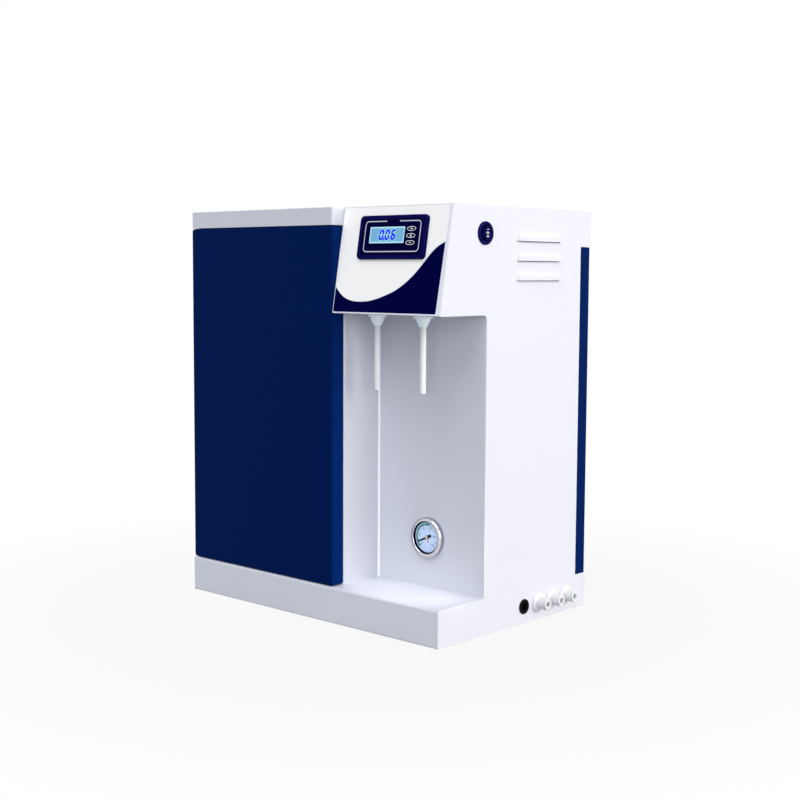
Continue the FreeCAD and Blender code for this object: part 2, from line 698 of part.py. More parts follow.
# One pressed louvre, open along its lower lip, and its copies above it.
def makeLouvres(panel):
    end = rear - s.louvreRear
    start = end - s.bodyDepth * s.louvreShare
    lip = top - s.louvreDrop

    def hood(place, low, height, inset, narrowing):
        sketch = newSketch(panel, "YZ_Plane", place)
        high = lip + height
        drawOutline(sketch, [(start + inset, low), (end - inset, low),
                             (end - inset - narrowing, high, s.louvreRound),
                             (start + inset + narrowing, high, s.louvreRound)])
        return sketch

    taper = s.louvreTaper
    lipEnd = s.louvreEnd
    outerRoot = hood(right, lip, s.louvreHeight, asSize(0), taper)
    outerLip = hood(right + s.louvreProud, lip, s.louvreLip, lipEnd, taper / 2)
    shell = panel.newObject("PartDesign::AdditiveLoft", "louvre_shell")
    shell.Profile = outerRoot
    shell.Sections = [outerLip]
    shell.Ruled = True
    doc.recompute()
    slotLow = lip - s.louvreSlot
    innerRoot = hood(right - gauge - s.overrun, slotLow, s.louvreHeight - gauge, gauge, taper)
    innerOut = right + s.louvreProud - gauge
    innerLip = hood(innerOut, slotLow, s.louvreLip - gauge / 2, lipEnd + gauge, taper / 2)
    before = panel.Shape.Volume
    hollow = panel.newObject("PartDesign::SubtractiveLoft", "louvre_hollow")
    hollow.Profile = innerRoot
    hollow.Sections = [innerLip]
    hollow.Ruled = True
    checkCut(panel, before)
    row = panel.newObject("PartDesign::LinearPattern", "louvre_row")
    row.Originals = [shell, hollow]
    row.Direction = (outerRoot, ["V_Axis"])
    bind(row, "Length", s.louvrePitch * (s.louvreCount - 1))
    bind(row, "Occurrences", s.louvreCount)
    panel.Tip = row
    doc.recompute()


def makeLeftSidePanel():
    panel = newBody("left_side_panel")
    outline = newSketch(panel, "YZ_Plane", left)
    drawOutline(outline, [(front, under)] + rearNotch() + [
        (hingeJamb, top),
        (hingeJamb, shelf),
        (front, shelf),
    ])
    pad(panel, outline, gauge)


# Folded tray: floor, front wall, shelf under the door and bay, and a low rear wall.
def makeBasePan():
    pan = newBody("base_pan")
    section = newSketch(pan, "YZ_Plane", left + gauge)
    drawOutline(section, [
        (rear, under, s.tightFold),
        (rear, rearLow - s.seamGap),
        (rear - gauge, rearLow - s.seamGap),
        (rear - gauge, under + gauge, innerTight),
        (front + gauge, under + gauge, innerTight),
        (front + gauge, shelf - gauge, innerFold),
        (deckFront - gauge, shelf - gauge, innerTight),
        (deckFront - gauge, shelf - s.flangeDepth),
        (deckFront, shelf - s.flangeDepth),
        (deckFront, shelf, s.tightFold),
        (front, shelf, s.foldRadius),
        (front, under, s.tightFold),
    ])
    pad(pan, section, s.bodyWidth - 2 * gauge)


def makeChassisDeck():
    deck = newBody("chassis_deck")
    section = newSketch(deck, "XZ_Plane", deckFront)
    low = shelf - s.flangeDepth
    drawOutline(section, [
        (left + gauge, low),
        (left + gauge, shelf, s.tightFold),
        (right - gauge, shelf, s.tightFold),
        (right - gauge, low),
        (right - 2 * gauge, low),
        (right - 2 * gauge, shelf - gauge, innerTight),
        (left + 2 * gauge, shelf - gauge, innerTight),
        (left + 2 * gauge, low),
    ])
    pad(deck, section, rearReturnEdge - deckFront)
    holes = newSketch(deck, "XY_Plane", shelf)
    holeX = right - s.portShankDeep - s.deckHole
    for number in range(len(portNames)):
        drawCircle(holes, holeX, portPlace(number), s.deckHole)
    pocket(deck, holes, gauge + s.overrun)


def makeBayWalls():
    back = newBody("bay_back_wall")
    plan = newSketch(back, "XY_Plane", shelf)
    lap = division - gauge - s.flangeDepth
    drawOutline(plan, [
        (lap, bayWall),
        (right - gauge, bayWall, s.tightFold),
        (right - gauge, bayWall + s.flangeDepth),
        (right - 2 * gauge, bayWall + s.flangeDepth),
        (right - 2 * gauge, bayWall + gauge, innerTight),
        (lap, bayWall + gauge),
    ])
    pad(back, plan, headLow + s.flangeDepth - shelf)
    hole = newSketch(back, "XZ_Plane", bayWall)
    drawCircle(hole, division + s.gaugeAcross, under + s.gaugeUp, s.gaugeCaseWidth + 2 * s.gaugeFit)
    pocket(back, hole, gauge + s.overrun)

    side = newBody("bay_left_wall")
    plan = newSketch(side, "XY_Plane", shelf)
    drawOutline(plan, [
        (division, bayWall),
        (division, latchJamb, s.tightFold),
        (division - s.jambWidth, latchJamb),
        (division - s.jambWidth, latchJamb + gauge),
        (division - gauge, latchJamb + gauge, innerTight),
        (division - gauge, bayWall),
    ])
    pad(side, plan, top - gauge - shelf)


# Sloped front and underside of the head in one fold, with a return that laps the bay's left wall.
def makeHeadPlate():
    plate = newBody("head_plate")
    section = newSketch(plate, "YZ_Plane", division)
    drawOutline(section, [
        (front, headLow, s.tightFold),
        (front + s.headSetback, top),
        (front + s.headSetback + slopeGauge, top),
        (slopeFront(headLow + gauge) + slopeGauge, headLow + gauge, innerTight),
        (bayWall, headLow + gauge),
        (bayWall, headLow),
    ])
    pad(plate, section, right - gauge - division)
    lap = newSketch(plate, "YZ_Plane", division)
    drawOutline(lap, [
        (slopeFront(headLow + gauge) + slopeGauge / 2, headLow + gauge / 2),
        (latchJamb + s.flangeDepth, headLow + gauge / 2),
        (latchJamb + s.flangeDepth, bandLow),
        (slopeFront(bandLow) + slopeGauge / 2, bandLow),
    ])
    pad(plate, lap, gauge)
    opening = newSketch(plate, "XZ_Plane", front)
    bind(opening, ".AttachmentOffset.Base.x", division)
    bind(opening, ".AttachmentOffset.Base.y", headLow)
    leaning = opening.AttachmentOffset
    leaning.Rotation = FreeCAD.Rotation(vec(-1, 0, 0), slopeTilt.value)
    opening.AttachmentOffset = leaning
    bind(opening, ".AttachmentOffset.Rotation.Angle", slopeTilt)
    drawOutline(opening, controllerCutout())
    pocket(plate, opening, gauge + s.overrun)
    holes = newSketch(plate, "XY_Plane", headLow)
    for across in (s.nozzleLeftAcross, s.nozzleRightAcross):
        drawCircle(holes, division + across, front + s.nozzleBack, s.nozzleShank + 2 * s.nozzleFit)
    pocket(plate, holes, gauge + s.overrun, reverse=True)


def controllerCutout():
    width = s.caseWidth + 2 * s.cutoutPlay
    height = s.caseHeight + 2 * s.cutoutPlay
    return midRectangle(s.panelMidAcross, s.panelMidUp, width, height)


def makeTopCover():
    cover = newBody("top_cover")
    innerRight = right - gauge
    headEdge = front + s.headSetback + slopeGauge
    lid = newSketch(cover, "XY_Plane", top - gauge)
    drawOutline(lid, [
        (left, front, s.foldRadius),
        (division, front, s.foldRadius),
        (division, headEdge),
        (innerRight, headEdge),
        (innerRight, rear),
        (left + gauge, rear),
        (left + gauge, hingeJamb - s.seamGap),
        (left, hingeJamb - s.seamGap),
    ])
    pad(cover, lid, gauge)
    band = newSketch(cover, "XY_Plane", bandLow)
    drawOutline(band, [
        (left, hingeJamb - s.seamGap),
        (left, front, s.foldRadius),
        (division, front, s.foldRadius),
        (division, latchJamb),
        (division - gauge, latchJamb),
        (division - gauge, front + gauge, innerFold),
        (left + gauge, front + gauge, innerFold),
        (left + gauge, hingeJamb - s.seamGap),
    ])
    pad(cover, band, s.bandHeight - gauge)
    skirt = newSketch(cover, "XY_Plane", rearHigh + s.seamGap)
    drawOutline(skirt, rectangle(left + gauge, rear - gauge, innerRight, rear))
    pad(cover, skirt, top - gauge - rearHigh - s.seamGap)
    for x0, start in ((left + gauge, hingeJamb), (innerRight - gauge, headEdge)):
        flange = newSketch(cover, "XY_Plane", top - s.flangeDepth)
        drawOutline(flange, rectangle(x0, start, x0 + gauge, rear - gauge))
        pad(cover, flange, s.flangeDepth - gauge)
    roundEdges(cover, [((left + division) / 2, front, top)], gauge * s.lidRoundShare)


def makeRearCover():
    cover = newBody("rear_cover")
    plan = newSketch(cover, "XY_Plane", rearLow)
    drawOutline(plan, [
        (left, rearReturnEdge),
        (left, rear, s.foldRadius),
        (right, rear, s.foldRadius),
        (right, rearReturnEdge),
        (right - gauge, rearReturnEdge),
        (right - gauge, rear - gauge, innerFold),
        (left + gauge, rear - gauge, innerFold),
        (left + gauge, rearReturnEdge),
    ])
    pad(cover, plan, rearHigh - rearLow)
    for low in (rearLow, rearHigh - gauge):
        flange = newSketch(cover, "XY_Plane", low)
        inset = s.foldRadius
        drawOutline(flange, rectangle(left + inset, rear - s.flangeDepth, right - inset, rear - gauge / 2))
        pad(cover, flange, gauge)


# Angle posts that the rear cover screws to, inside both rear corners.
def makeRearPosts():
    posts = []
    for label, wall, turn in (("post_left", left + gauge, 1), ("post_right", right - gauge, -1)):
        post = doc.addObject("PartDesign::Body", label)
        posts.append(post)
        plan = newSketch(post, "XY_Plane", rearLow + gauge)
        back = rear - gauge
        start = rearReturnEdge - s.flangeDepth
        drawOutline(plan, [
            (wall, start),
            (wall, back, s.foldRadius),
            (wall + turn * s.postWidth, back),
            (wall + turn * s.postWidth, back - gauge),
            (wall + turn * gauge, back - gauge, innerFold),
            (wall + turn * gauge, start),
        ])
        pad(post, plan, rearHigh - rearLow - 2 * gauge)
    keep(grouped("posts", posts), "rear_posts")


def makeFeet():
    feet = []
    for x in (left + s.footInset, right - s.footInset):
        for y in (front + s.footInset, rear - s.footInset):
            foot = doc.addObject("Part::Cone", "foot")
            bind(foot, "Radius1", s.footLowWidth / 2)
            bind(foot, "Radius2", s.footTopWidth / 2)
            bind(foot, "Height", s.footHeight)
            place(foot, x, y, asSize(0))
            feet.append(foot)
    keep(grouped("feet", feet), "rubber_feet")


# The door is a pan open to the back, folded on all four sides, that turns on two pins near its left edge.
def makeDoor():
    door = newBody("door_panel")
    x0 = left
    x1 = division - s.doorGap
    z0 = shelf + s.doorGap
    z1 = bandLow - s.doorGap
    face = newSketch(door, "XZ_Plane", front)
    drawOutline(face, rectangle(x0, z0, x1, z1, s.doorCorner))
    pad(door, face, s.doorDepth)
    midX = (x0 + x1) / 2
    roundEdges(door, [(midX, front, z0)], s.doorFold)
    hollow = newSketch(door, "XZ_Plane", front + s.doorDepth)
    inner = rectangle(x0 + gauge, z0 + gauge, x1 - gauge, z1 - gauge, s.doorCorner - gauge)
    drawOutline(hollow, inner)
    pocket(door, hollow, s.doorDepth - gauge, reverse=True)
    roundEdges(door, [(midX, front + gauge, z0 + gauge)], s.doorFold - gauge)
    pins = newSketch(door, "XY_Plane", z0 - s.overrun)
    drawCircle(pins, left + s.pivotInset, front + s.pivotSetback, s.pivotPin + 2 * s.pivotFit)
    pocket(door, pins, z1 - z0 + 2 * s.overrun, reverse=True)


def makePivot(label, seat, collar, direction):
    pin = newBody(label)
    reach = collar + s.pivotReach
    revolve(pin, [
        (0, 0),
        (s.pivotCollar / 2, 0),
        (s.pivotCollar / 2, collar),
        (s.pivotPin / 2, collar),
        (s.pivotPin / 2, reach),
        (0, reach),
    ])
    place(pin, left + s.pivotInset, front + s.pivotSetback, seat, (1, 0, 0), direction)


def makeDoorHardware():
    makePivot("hinge_pin_lower", shelf, s.doorGap - s.collarPlay, 0)
    makePivot("hinge_pin_upper", top - gauge, s.bandHeight - gauge + s.doorGap - s.collarPlay, 180)
    x1 = division - s.catchInset
    x0 = x1 - s.catchWidth
    mid = (shelf + bandLow) / 2
    low = mid - s.catchHeight / 2
    high = mid + s.catchHeight / 2
    catchFront = front + gauge + s.strikeGauge + s.catchPlay
    catch = newBody("magnetic_catch")
    shape = newSketch(catch, "XZ_Plane", catchFront)
    drawOutline(shape, rectangle(x0, low, x1, high, s.tightFold))
    pad(catch, shape, latchJamb - catchFront)
    strike = newBody("door_strike")
    shape = newSketch(strike, "XZ_Plane", front + gauge)
    high = high + s.strikeMargin
    drawOutline(shape, rectangle(x0 - s.strikeMargin, low - s.strikeMargin, x1, high, s.tightFold))
    pad(strike, shape, s.strikeGauge)


# Pieces on the sloped front are drawn in its own frame: across, into the head, and up the slope.
def placeOnSlope(thing):
    place(thing, division, front, headLow, (-1, 0, 0), slopeTilt)


def onSlopeSketch(body, depth):
    return newSketch(body, "XZ_Plane", depth)


def makeFascia():
    film = newBody("fascia_overlay")
    margin = s.overlayMargin
    shape = onSlopeSketch(film, -s.overlayGauge)
    x1 = headWidth - margin
    drawOutline(shape, rectangle(margin, margin, x1, slopeLength - margin, s.overlayCorner))
    pad(film, shape, s.overlayGauge)
    cut = onSlopeSketch(film, -s.overlayGauge)
    drawOutline(cut, controllerCutout())
    pocket(film, cut, s.overlayGauge + s.overrun)
    placeOnSlope(film)


def keyPlace(step):
    return s.panelMidAcross + s.keyAcross, s.panelMidUp + s.keyUp + step * s.keyPitch


def lcdPlace():
    return s.panelMidAcross + s.lcdAcross, s.panelMidUp + s.lcdUp


def drawKey(sketch, step, play):
    across, up = keyPlace(step)
    drawOval(sketch, across, up, s.keyWidth + 2 * play, s.keyHeight + 2 * play)


def makeController():
    midX = s.panelMidAcross
    midZ = s.panelMidUp
    bezelBack = -s.overlayGauge
    bezelFront = bezelBack - s.bezelProud
    faceFront = bezelFront + s.faceRecess
    bezel = newBody("controller_bezel")
    shape = onSlopeSketch(bezel, bezelFront)
    drawOutline(shape, midRectangle(midX, midZ, s.bezelWidth, s.bezelHeight, s.bezelCorner))
    pad(bezel, shape, s.bezelProud)
    roundEdges(bezel, [(midX, bezelFront, midZ - s.bezelHeight / 2)], s.bezelRound)
    opening = onSlopeSketch(bezel, bezelFront)
    drawOutline(opening, midRectangle(midX, midZ, s.faceWidth, s.faceHeight, s.faceCorner))
    pocket(bezel, opening, s.bezelProud + s.overrun)
    placeOnSlope(bezel)

    face = newBody("controller_face")
    shape = onSlopeSketch(face, faceFront)
    width = s.faceWidth - 2 * s.faceFit
    height = s.faceHeight - 2 * s.faceFit
    drawOutline(shape, midRectangle(midX, midZ, width, height, s.faceCorner))
    pad(face, shape, s.faceGauge)
    windows = onSlopeSketch(face, faceFront)
    lcdX, lcdZ = lcdPlace()
    drawOutline(windows, midRectangle(lcdX, lcdZ, s.lcdWidth, s.lcdHeight))
    for step in (-1, 0, 1):
        drawKey(windows, step, s.keyFit)
    pocket(face, windows, s.faceGauge + s.overrun)
    placeOnSlope(face)

    lcd = newBody("display_lcd")
    shape = onSlopeSketch(lcd, faceFront + s.lcdRecess)
    width = s.lcdWidth - 2 * s.faceFit
    height = s.lcdHeight - 2 * s.faceFit
    drawOutline(shape, midRectangle(lcdX, lcdZ, width, height))
    pad(lcd, shape, -faceFront - s.lcdRecess)
    placeOnSlope(lcd)

    for label, step in (("key_lower", -1), ("key_middle", 0), ("key_upper", 1)):
        key = newBody(label)
        keyFront = faceFront - s.keyProud
        shape = onSlopeSketch(key, keyFront)
        drawKey(shape, step, 0)
        pad(key, shape, s.keyLength)
        across, up = keyPlace(step)
        roundEdges(key, [(across, keyFront, up - s.keyHeight / 2)], s.keyEdge)
        placeOnSlope(key)

    board = newBody("controller_board")
    shape = onSlopeSketch(board, 0)
    width = s.caseWidth - 2 * s.caseWall - 2 * s.faceFit
    height = s.caseHeight - 2 * s.caseWall - 2 * s.faceFit
    drawOutline(shape, midRectangle(midX, midZ, width, height))
    pad(board, shape, s.boardGauge)
    placeOnSlope(board)

    case = newBody("controller_case")
    shape = onSlopeSketch(case, bezelBack)
    drawOutline(shape, midRectangle(midX, midZ, s.caseWidth, s.caseHeight, s.caseCorner))
    pad(case, shape, s.caseDepth)
    inside = onSlopeSketch(case, bezelBack)
    width = s.caseWidth - 2 * s.caseWall
    height = s.caseHeight - 2 * s.caseWall
    drawOutline(inside, midRectangle(midX, midZ, width, height))
    pocket(case, inside, s.caseDepth - s.caseWall)
    placeOnSlope(case)

    clamps = []
    for side in (-1, 1):
        edge = midX + side * s.caseWidth / 2
        x0 = edge if side > 0 else edge - s.clampGauge
        low = midZ - s.clampHeight / 2
        clamp = block("clamp", x0, gauge, low, x0 + s.clampGauge, gauge + s.clampLength, low + s.clampHeight)
        clamps.append(clamp)
    pair = keep(grouped("clamps", clamps), "controller_clamps")
    placeOnSlope(pair)


# The rocker switch: local Z points out of the side panel.
def placeOnSide(thing, y, z):
    place(thing, right, y, z, (0, 1, 0), 90)


def makeSwitch():
    y = front + s.switchBack
    z = top - s.switchDrop
    housing = newBody("switch_housing")
    rim = s.switchRim / 2
    bore = s.switchBore / 2
    revolve(housing, [
        (0, -s.switchLength),
        (s.switchBarrel / 2, -s.switchLength),
        (s.switchBarrel / 2, 0),
        (rim, 0),
        (rim, s.switchRimProud, s.switchRimProud * s.rimRoundShare),
        (bore, s.switchRimProud, s.rockerEdge),
        (bore, -s.switchWell),
        (0, -s.switchWell),
    ])
    axleHoles = newSketch(housing, "XZ_Plane")
    drawCircle(axleHoles, 0, -s.rockerPivot, s.rockerAxle + 2 * s.axleFit)
    pocket(housing, axleHoles, s.rockerAxleLength + 2 * s.axleFit, middle=True)
    placeOnSide(housing, y, z)

    rocker = newBody("switch_rocker")
    half = s.rockerWidth / 2
    revolve(rocker, [
        (0, -s.rockerDeep),
        (half, -s.rockerDeep),
        (half, s.rockerProud, s.rockerEdge),
        (0, s.rockerProud),
    ])
    axle = newSketch(rocker, "XZ_Plane")
    drawCircle(axle, 0, -s.rockerPivot, s.rockerAxle)
    pad(rocker, axle, s.rockerAxleLength, middle=True)
    dish = newSketch(rocker, "XZ_Plane")
    drawCircle(dish, 0, s.rockerProud + s.rockerDish - s.rockerDishDepth, 2 * s.rockerDish)
    pocket(rocker, dish, s.rockerWidth, middle=True)
    placeOnSide(rocker, y, z)

    blades = []
    for step in (-1, 0, 1):
        x1 = right - s.switchLength
        x0 = x1 - s.bladeLength
        y0 = y - s.bladeWidth / 2
        z0 = z + step * s.bladePitch - s.bladeGauge / 2
        blades.append(block("blade", x0, y0, z0, x1, y0 + s.bladeWidth, z0 + s.bladeGauge))
    keep(grouped("blades", blades), "switch_terminals")


# The pressure gauge: local Z points out of the bay's back wall.
def placeOnBayWall(thing):
    place(thing, division + s.gaugeAcross, bayWall, under + s.gaugeUp, (1, 0, 0), 90)


def makeGauge():
    outer = s.gaugeCaseWidth / 2
    deep = -s.gaugeCaseDeep
    lensBack = s.gaugeLipBack - s.lensGauge
    socketRadius = s.socketThread / 2
    case = newBody("gauge_case")
    revolve(case, [
        (socketRadius + s.gaugeFit, deep),
        (outer, deep, s.tightFold),
        (outer, lensBack),
        (outer - s.gaugeCaseWall, lensBack),
        (outer - s.gaugeCaseWall, deep + s.gaugeCaseWall, s.tightFold - s.gaugeCaseWall),
        (socketRadius + s.gaugeFit, deep + s.gaugeCaseWall),
    ])
    placeOnBayWall(case)

    bezel = newBody("gauge_bezel")
    ring = s.gaugeBezelWidth / 2
    hold = outer + s.gaugeFit
    opening = s.gaugeOpening / 2
    revolve(bezel, [
        (hold, 0),
        (ring, 0),
        (ring, s.gaugeProud, s.gaugeRoll),
        (opening, s.gaugeProud, s.gaugeRoll / 2),
        (opening, s.gaugeLipBack),
        (hold, s.gaugeLipBack),
    ])
    placeOnBayWall(bezel)

    lens = newBody("gauge_lens")
    revolve(lens, [(0, lensBack), (outer, lensBack), (outer, s.gaugeLipBack), (0, s.gaugeLipBack)])
    placeOnBayWall(lens)

    dial = newBody("gauge_dial")
    shaftHole = s.pointerShaft / 2 + s.gaugeFit
    edge = outer - s.gaugeCaseWall - s.gaugeFit
    dialBack = s.dialFace - s.dialGauge
    revolve(dial, [(shaftHole, dialBack), (edge, dialBack), (edge, s.dialFace), (shaftHole, s.dialFace)])
    placeOnBayWall(dial)

    pointer = newBody("gauge_pointer")
    low = s.dialFace + s.pointerLift
    high = low + s.pointerGauge
    shaft = s.pointerShaft / 2
    hub = s.pointerHub / 2
    shaftEnd = s.dialFace - s.pointerShaftDeep
    revolve(pointer, [(0, shaftEnd), (shaft, shaftEnd), (shaft, low), (hub, low), (hub, high), (0, high)])
    blade = newSketch(pointer, "XY_Plane", low)
    rootHalf = s.pointerRootWidth / 2
    tipHalf = s.pointerTipWidth / 2
    tip = s.pointerReach
    drawOutline(blade, [(0, -rootHalf), (tip, -tipHalf), (tip, tipHalf), (0, rootHalf)])
    pad(pointer, blade, s.pointerGauge)
    tail = newSketch(pointer, "XY_Plane", low)
    tailHalf = s.pointerTailWidth / 2
    drawOutline(tail, rectangle(-s.pointerTail, -tailHalf, 0, tailHalf, tailHalf / 2))
    pad(pointer, tail, s.pointerGauge)
    restTurn = FreeCAD.Rotation(vec(1, 0, 0), 90) * FreeCAD.Rotation(vec(0, 0, 1), s.pointerRest.value)
    placeOnBayWall(pointer)
    resting = pointer.Placement
    resting.Rotation = restTurn
    pointer.Placement = resting

    movement = newBody("gauge_movement")
    shape = newSketch(movement, "XY_Plane", -s.movementDeep)
    drawOutline(shape, midRectangle(asSize(0), asSize(0), s.movementWidth, s.movementHeight, s.tightFold))
    pad(movement, shape, s.movementDeep - s.movementFront)
    bore = newSketch(movement, "XY_Plane", -s.movementFront)
    drawCircle(bore, 0, 0, s.pointerShaft + 2 * s.axleFit)
    pocket(movement, bore, s.pointerShaftDeep)
    end = deep - s.socketLength
    thread = newSketch(movement, "XY_Plane", end)
    drawCircle(thread, 0, 0, s.socketThread)
    pad(movement, thread, s.socketLength + s.gaugeCaseDeep - s.movementDeep)
    flats = newSketch(movement, "XY_Plane", deep - s.socketHexLength)
    drawOutline(flats, hexCorners(s.socketHex))
    pad(movement, flats, s.socketHexLength)
    placeOnBayWall(movement)


def hexCorners(flats):
    reach = flats / root(asSize(3))
    half = flats / 2
    return [(reach, 0), (reach / 2, half), (-reach / 2, half), (-reach, 0), (-reach / 2, -half),
            (reach / 2, -half)]


def makeNozzles(nuts):
    for side, across in (("left", s.nozzleLeftAcross), ("right", s.nozzleRightAcross)):
        x = division + across
        y = front + s.nozzleBack
        nozzle = newBody(f"nozzle_{side}")
        seat = s.spoutWidth / 2 + s.spoutFit
        flow = s.spoutBore / 2
        shank = s.nozzleShank / 2
        revolve(nozzle, [
            (seat, -s.nozzleHeight),
            (s.nozzleTip / 2, -s.nozzleHeight),
            (s.nozzleShoulder / 2, -s.nozzleFlangeHeight - s.nozzleStep),
            (s.nozzleShoulder / 2, -s.nozzleFlangeHeight),
            (s.nozzleFlange / 2, -s.nozzleFlangeHeight, s.keyEdge),
            (s.nozzleFlange / 2, 0),
            (shank, 0),
            (shank, s.nozzleShankHeight),
            (flow, s.nozzleShankHeight),
            (flow, -s.nozzleSeat),
            (seat, -s.nozzleSeat),
        ])
        place(nozzle, x, y, headLow)
        tube = newBody(f"spout_tube_{side}")
        outer = s.spoutWidth / 2
        low = -s.spoutLength
        high = -s.nozzleSeat
        revolve(tube, [(flow, low), (outer, low), (outer, high), (flow, high)])
        place(tube, x, y, headLow)
        z = headLow + gauge
        nut = hexagon("nut", x, y, z, s.nozzleNutFlats, s.nozzleNutHeight)
        length = s.nozzleNutHeight + 2 * s.overrun
        bore = rod("bore", x, y, z - s.overrun, s.nozzleShank + 2 * s.spoutFit, length)
        nuts.append(cutAway("nozzle_nut", nut, bore))


# Push-in tube ports: a flanged body through the side panel, its release collet, and a nut inside.
def makePorts(nuts):
    bodyHalf = s.portBody / 2
    mouth = s.portMouth / 2
    seat = s.portTube / 2
    flow = s.portFlow / 2
    flangeHalf = s.portFlange / 2
    shank = s.portShank / 2
    collarUnder = s.portReach - s.colletFlangeGauge
    faceOut = collarUnder - s.colletTravel - s.colletPlay
    z = under + s.portUp
    for number, name in enumerate(portNames):
        y = portPlace(number)
        port = newBody(f"port_{name}")
        revolve(port, [
            (flow, -s.portShankDeep),
            (shank, -s.portShankDeep),
            (shank, 0),
            (flangeHalf, 0),
            (flangeHalf, s.portFlangeEdge, s.portFlangeEdge / 2),
            (bodyHalf, s.portFlangeDome),
            (bodyHalf, faceOut, s.keyEdge),
            (mouth, faceOut),
            (mouth, s.portMouthDeep),
            (seat, s.portMouthDeep),
            (seat, -s.portTubeDeep),
            (flow, -s.portTubeDeep),
        ])
        placeOnSide(port, y, z)
        collet = newBody(f"collet_{name}")
        inner = s.colletBore / 2
        sleeve = s.colletWidth / 2
        sleeveEnd = s.portMouthDeep + s.colletTravel + s.colletPlay
        revolve(collet, [
            (inner, sleeveEnd),
            (sleeve, sleeveEnd),
            (sleeve, collarUnder),
            (s.colletFlange / 2, collarUnder),
            (s.colletFlange / 2, s.portReach, s.keyEdge),
            (inner, s.portReach, s.keyEdge),
        ])
        placeOnSide(collet, y, z)
        x = right - gauge - s.portNutHeight
        nut = hexagon("nut", x, y, z, s.portNutFlats, s.portNutHeight, (0, 1, 0), 90)
        length = s.portNutHeight + 2 * s.overrun
        bore = rod("bore", x - s.overrun, y, z, s.portShank + 2 * s.axleFit, length, (0, 1, 0), 90)
        nuts.append(cutAway("port_nut", nut, bore))


def makeGrommet():
    grommet = newBody("cable_grommet")
    bore = s.grommetBore / 2
    groove = s.grommetGroove / 2
    outer = s.grommetFlange / 2
    inner = s.grommetInner / 2
    deep = gauge + s.grommetInnerGauge
    revolve(grommet, [
        (bore, -deep, s.rockerEdge),
        (inner, -deep, s.rockerEdge),
        (inner, -gauge),
        (groove, -gauge),
        (groove, 0),
        (outer, 0),
        (outer, s.grommetProud, s.rockerEdge),
        (bore, s.grommetProud, s.rockerEdge),
    ])
    placeOnSide(grommet, grommetPlace(), under + s.grommetUp)


# Inside: cartridges in front of a rack, pressure housings behind it, and the pump, valve and supply.
def makeRack():
    rack = newBody("cartridge_rack")
    section = newSketch(rack, "YZ_Plane", rackStart)
    back = rackFace + gauge
    high = top - s.rackDrop
    drawOutline(section, [
        (back, shelf, s.tightFold),
        (back, high),
        (rackFace, high),
        (rackFace, shelf + gauge, innerTight),
        (back - s.flangeDepth, shelf + gauge),
        (back - s.flangeDepth, shelf),
    ])
    pad(rack, section, rackWidth)


# A spring clip: a ring open to one side on a foot that reaches the rack.
def makeClip(x, y, z, diameter, toBack):
    inner = diameter / 2 + s.clipFit
    outer = inner + s.clipGauge
    ring = rod("clip_ring", x, y, z, 2 * outer, s.clipHeight)
    footHalf = inner * s.clipOpenShare / 2
    near, far = (y, rackFace) if toBack else (rackFace + gauge, y)
    foot = block("clip_foot", x - footHalf, near, z, x + footHalf, far, z + s.clipHeight)
    whole = joined("clip_whole", [ring, foot])
    low = z - s.overrun
    length = s.clipHeight + 2 * s.overrun
    core = rod("clip_core", x, y, low, 2 * inner, length)
    half = inner * s.clipOpenShare
    reach = outer + s.overrun
    near, far = (y - reach, y) if toBack else (y, y + reach)
    mouth = block("clip_mouth", x - half, near, low, x + half, far, low + length)
    return cutAway("clip", whole, joined("clip_space", [core, mouth]))


# The middle of one of some equal shares of the rack's width.
def rackMiddle(number, count):
    return rackStart + rackWidth * (2 * number + 1) / (2 * count)


def inlinePlace(number):
    return rackMiddle(number, len(inlineNames)), rackFace - s.clipStandoff - s.inlineWidth / 2


def housingPlace(number):
    return rackMiddle(number, len(housingNames)), rackFace + gauge + s.clipStandoff + s.housingWidth / 2


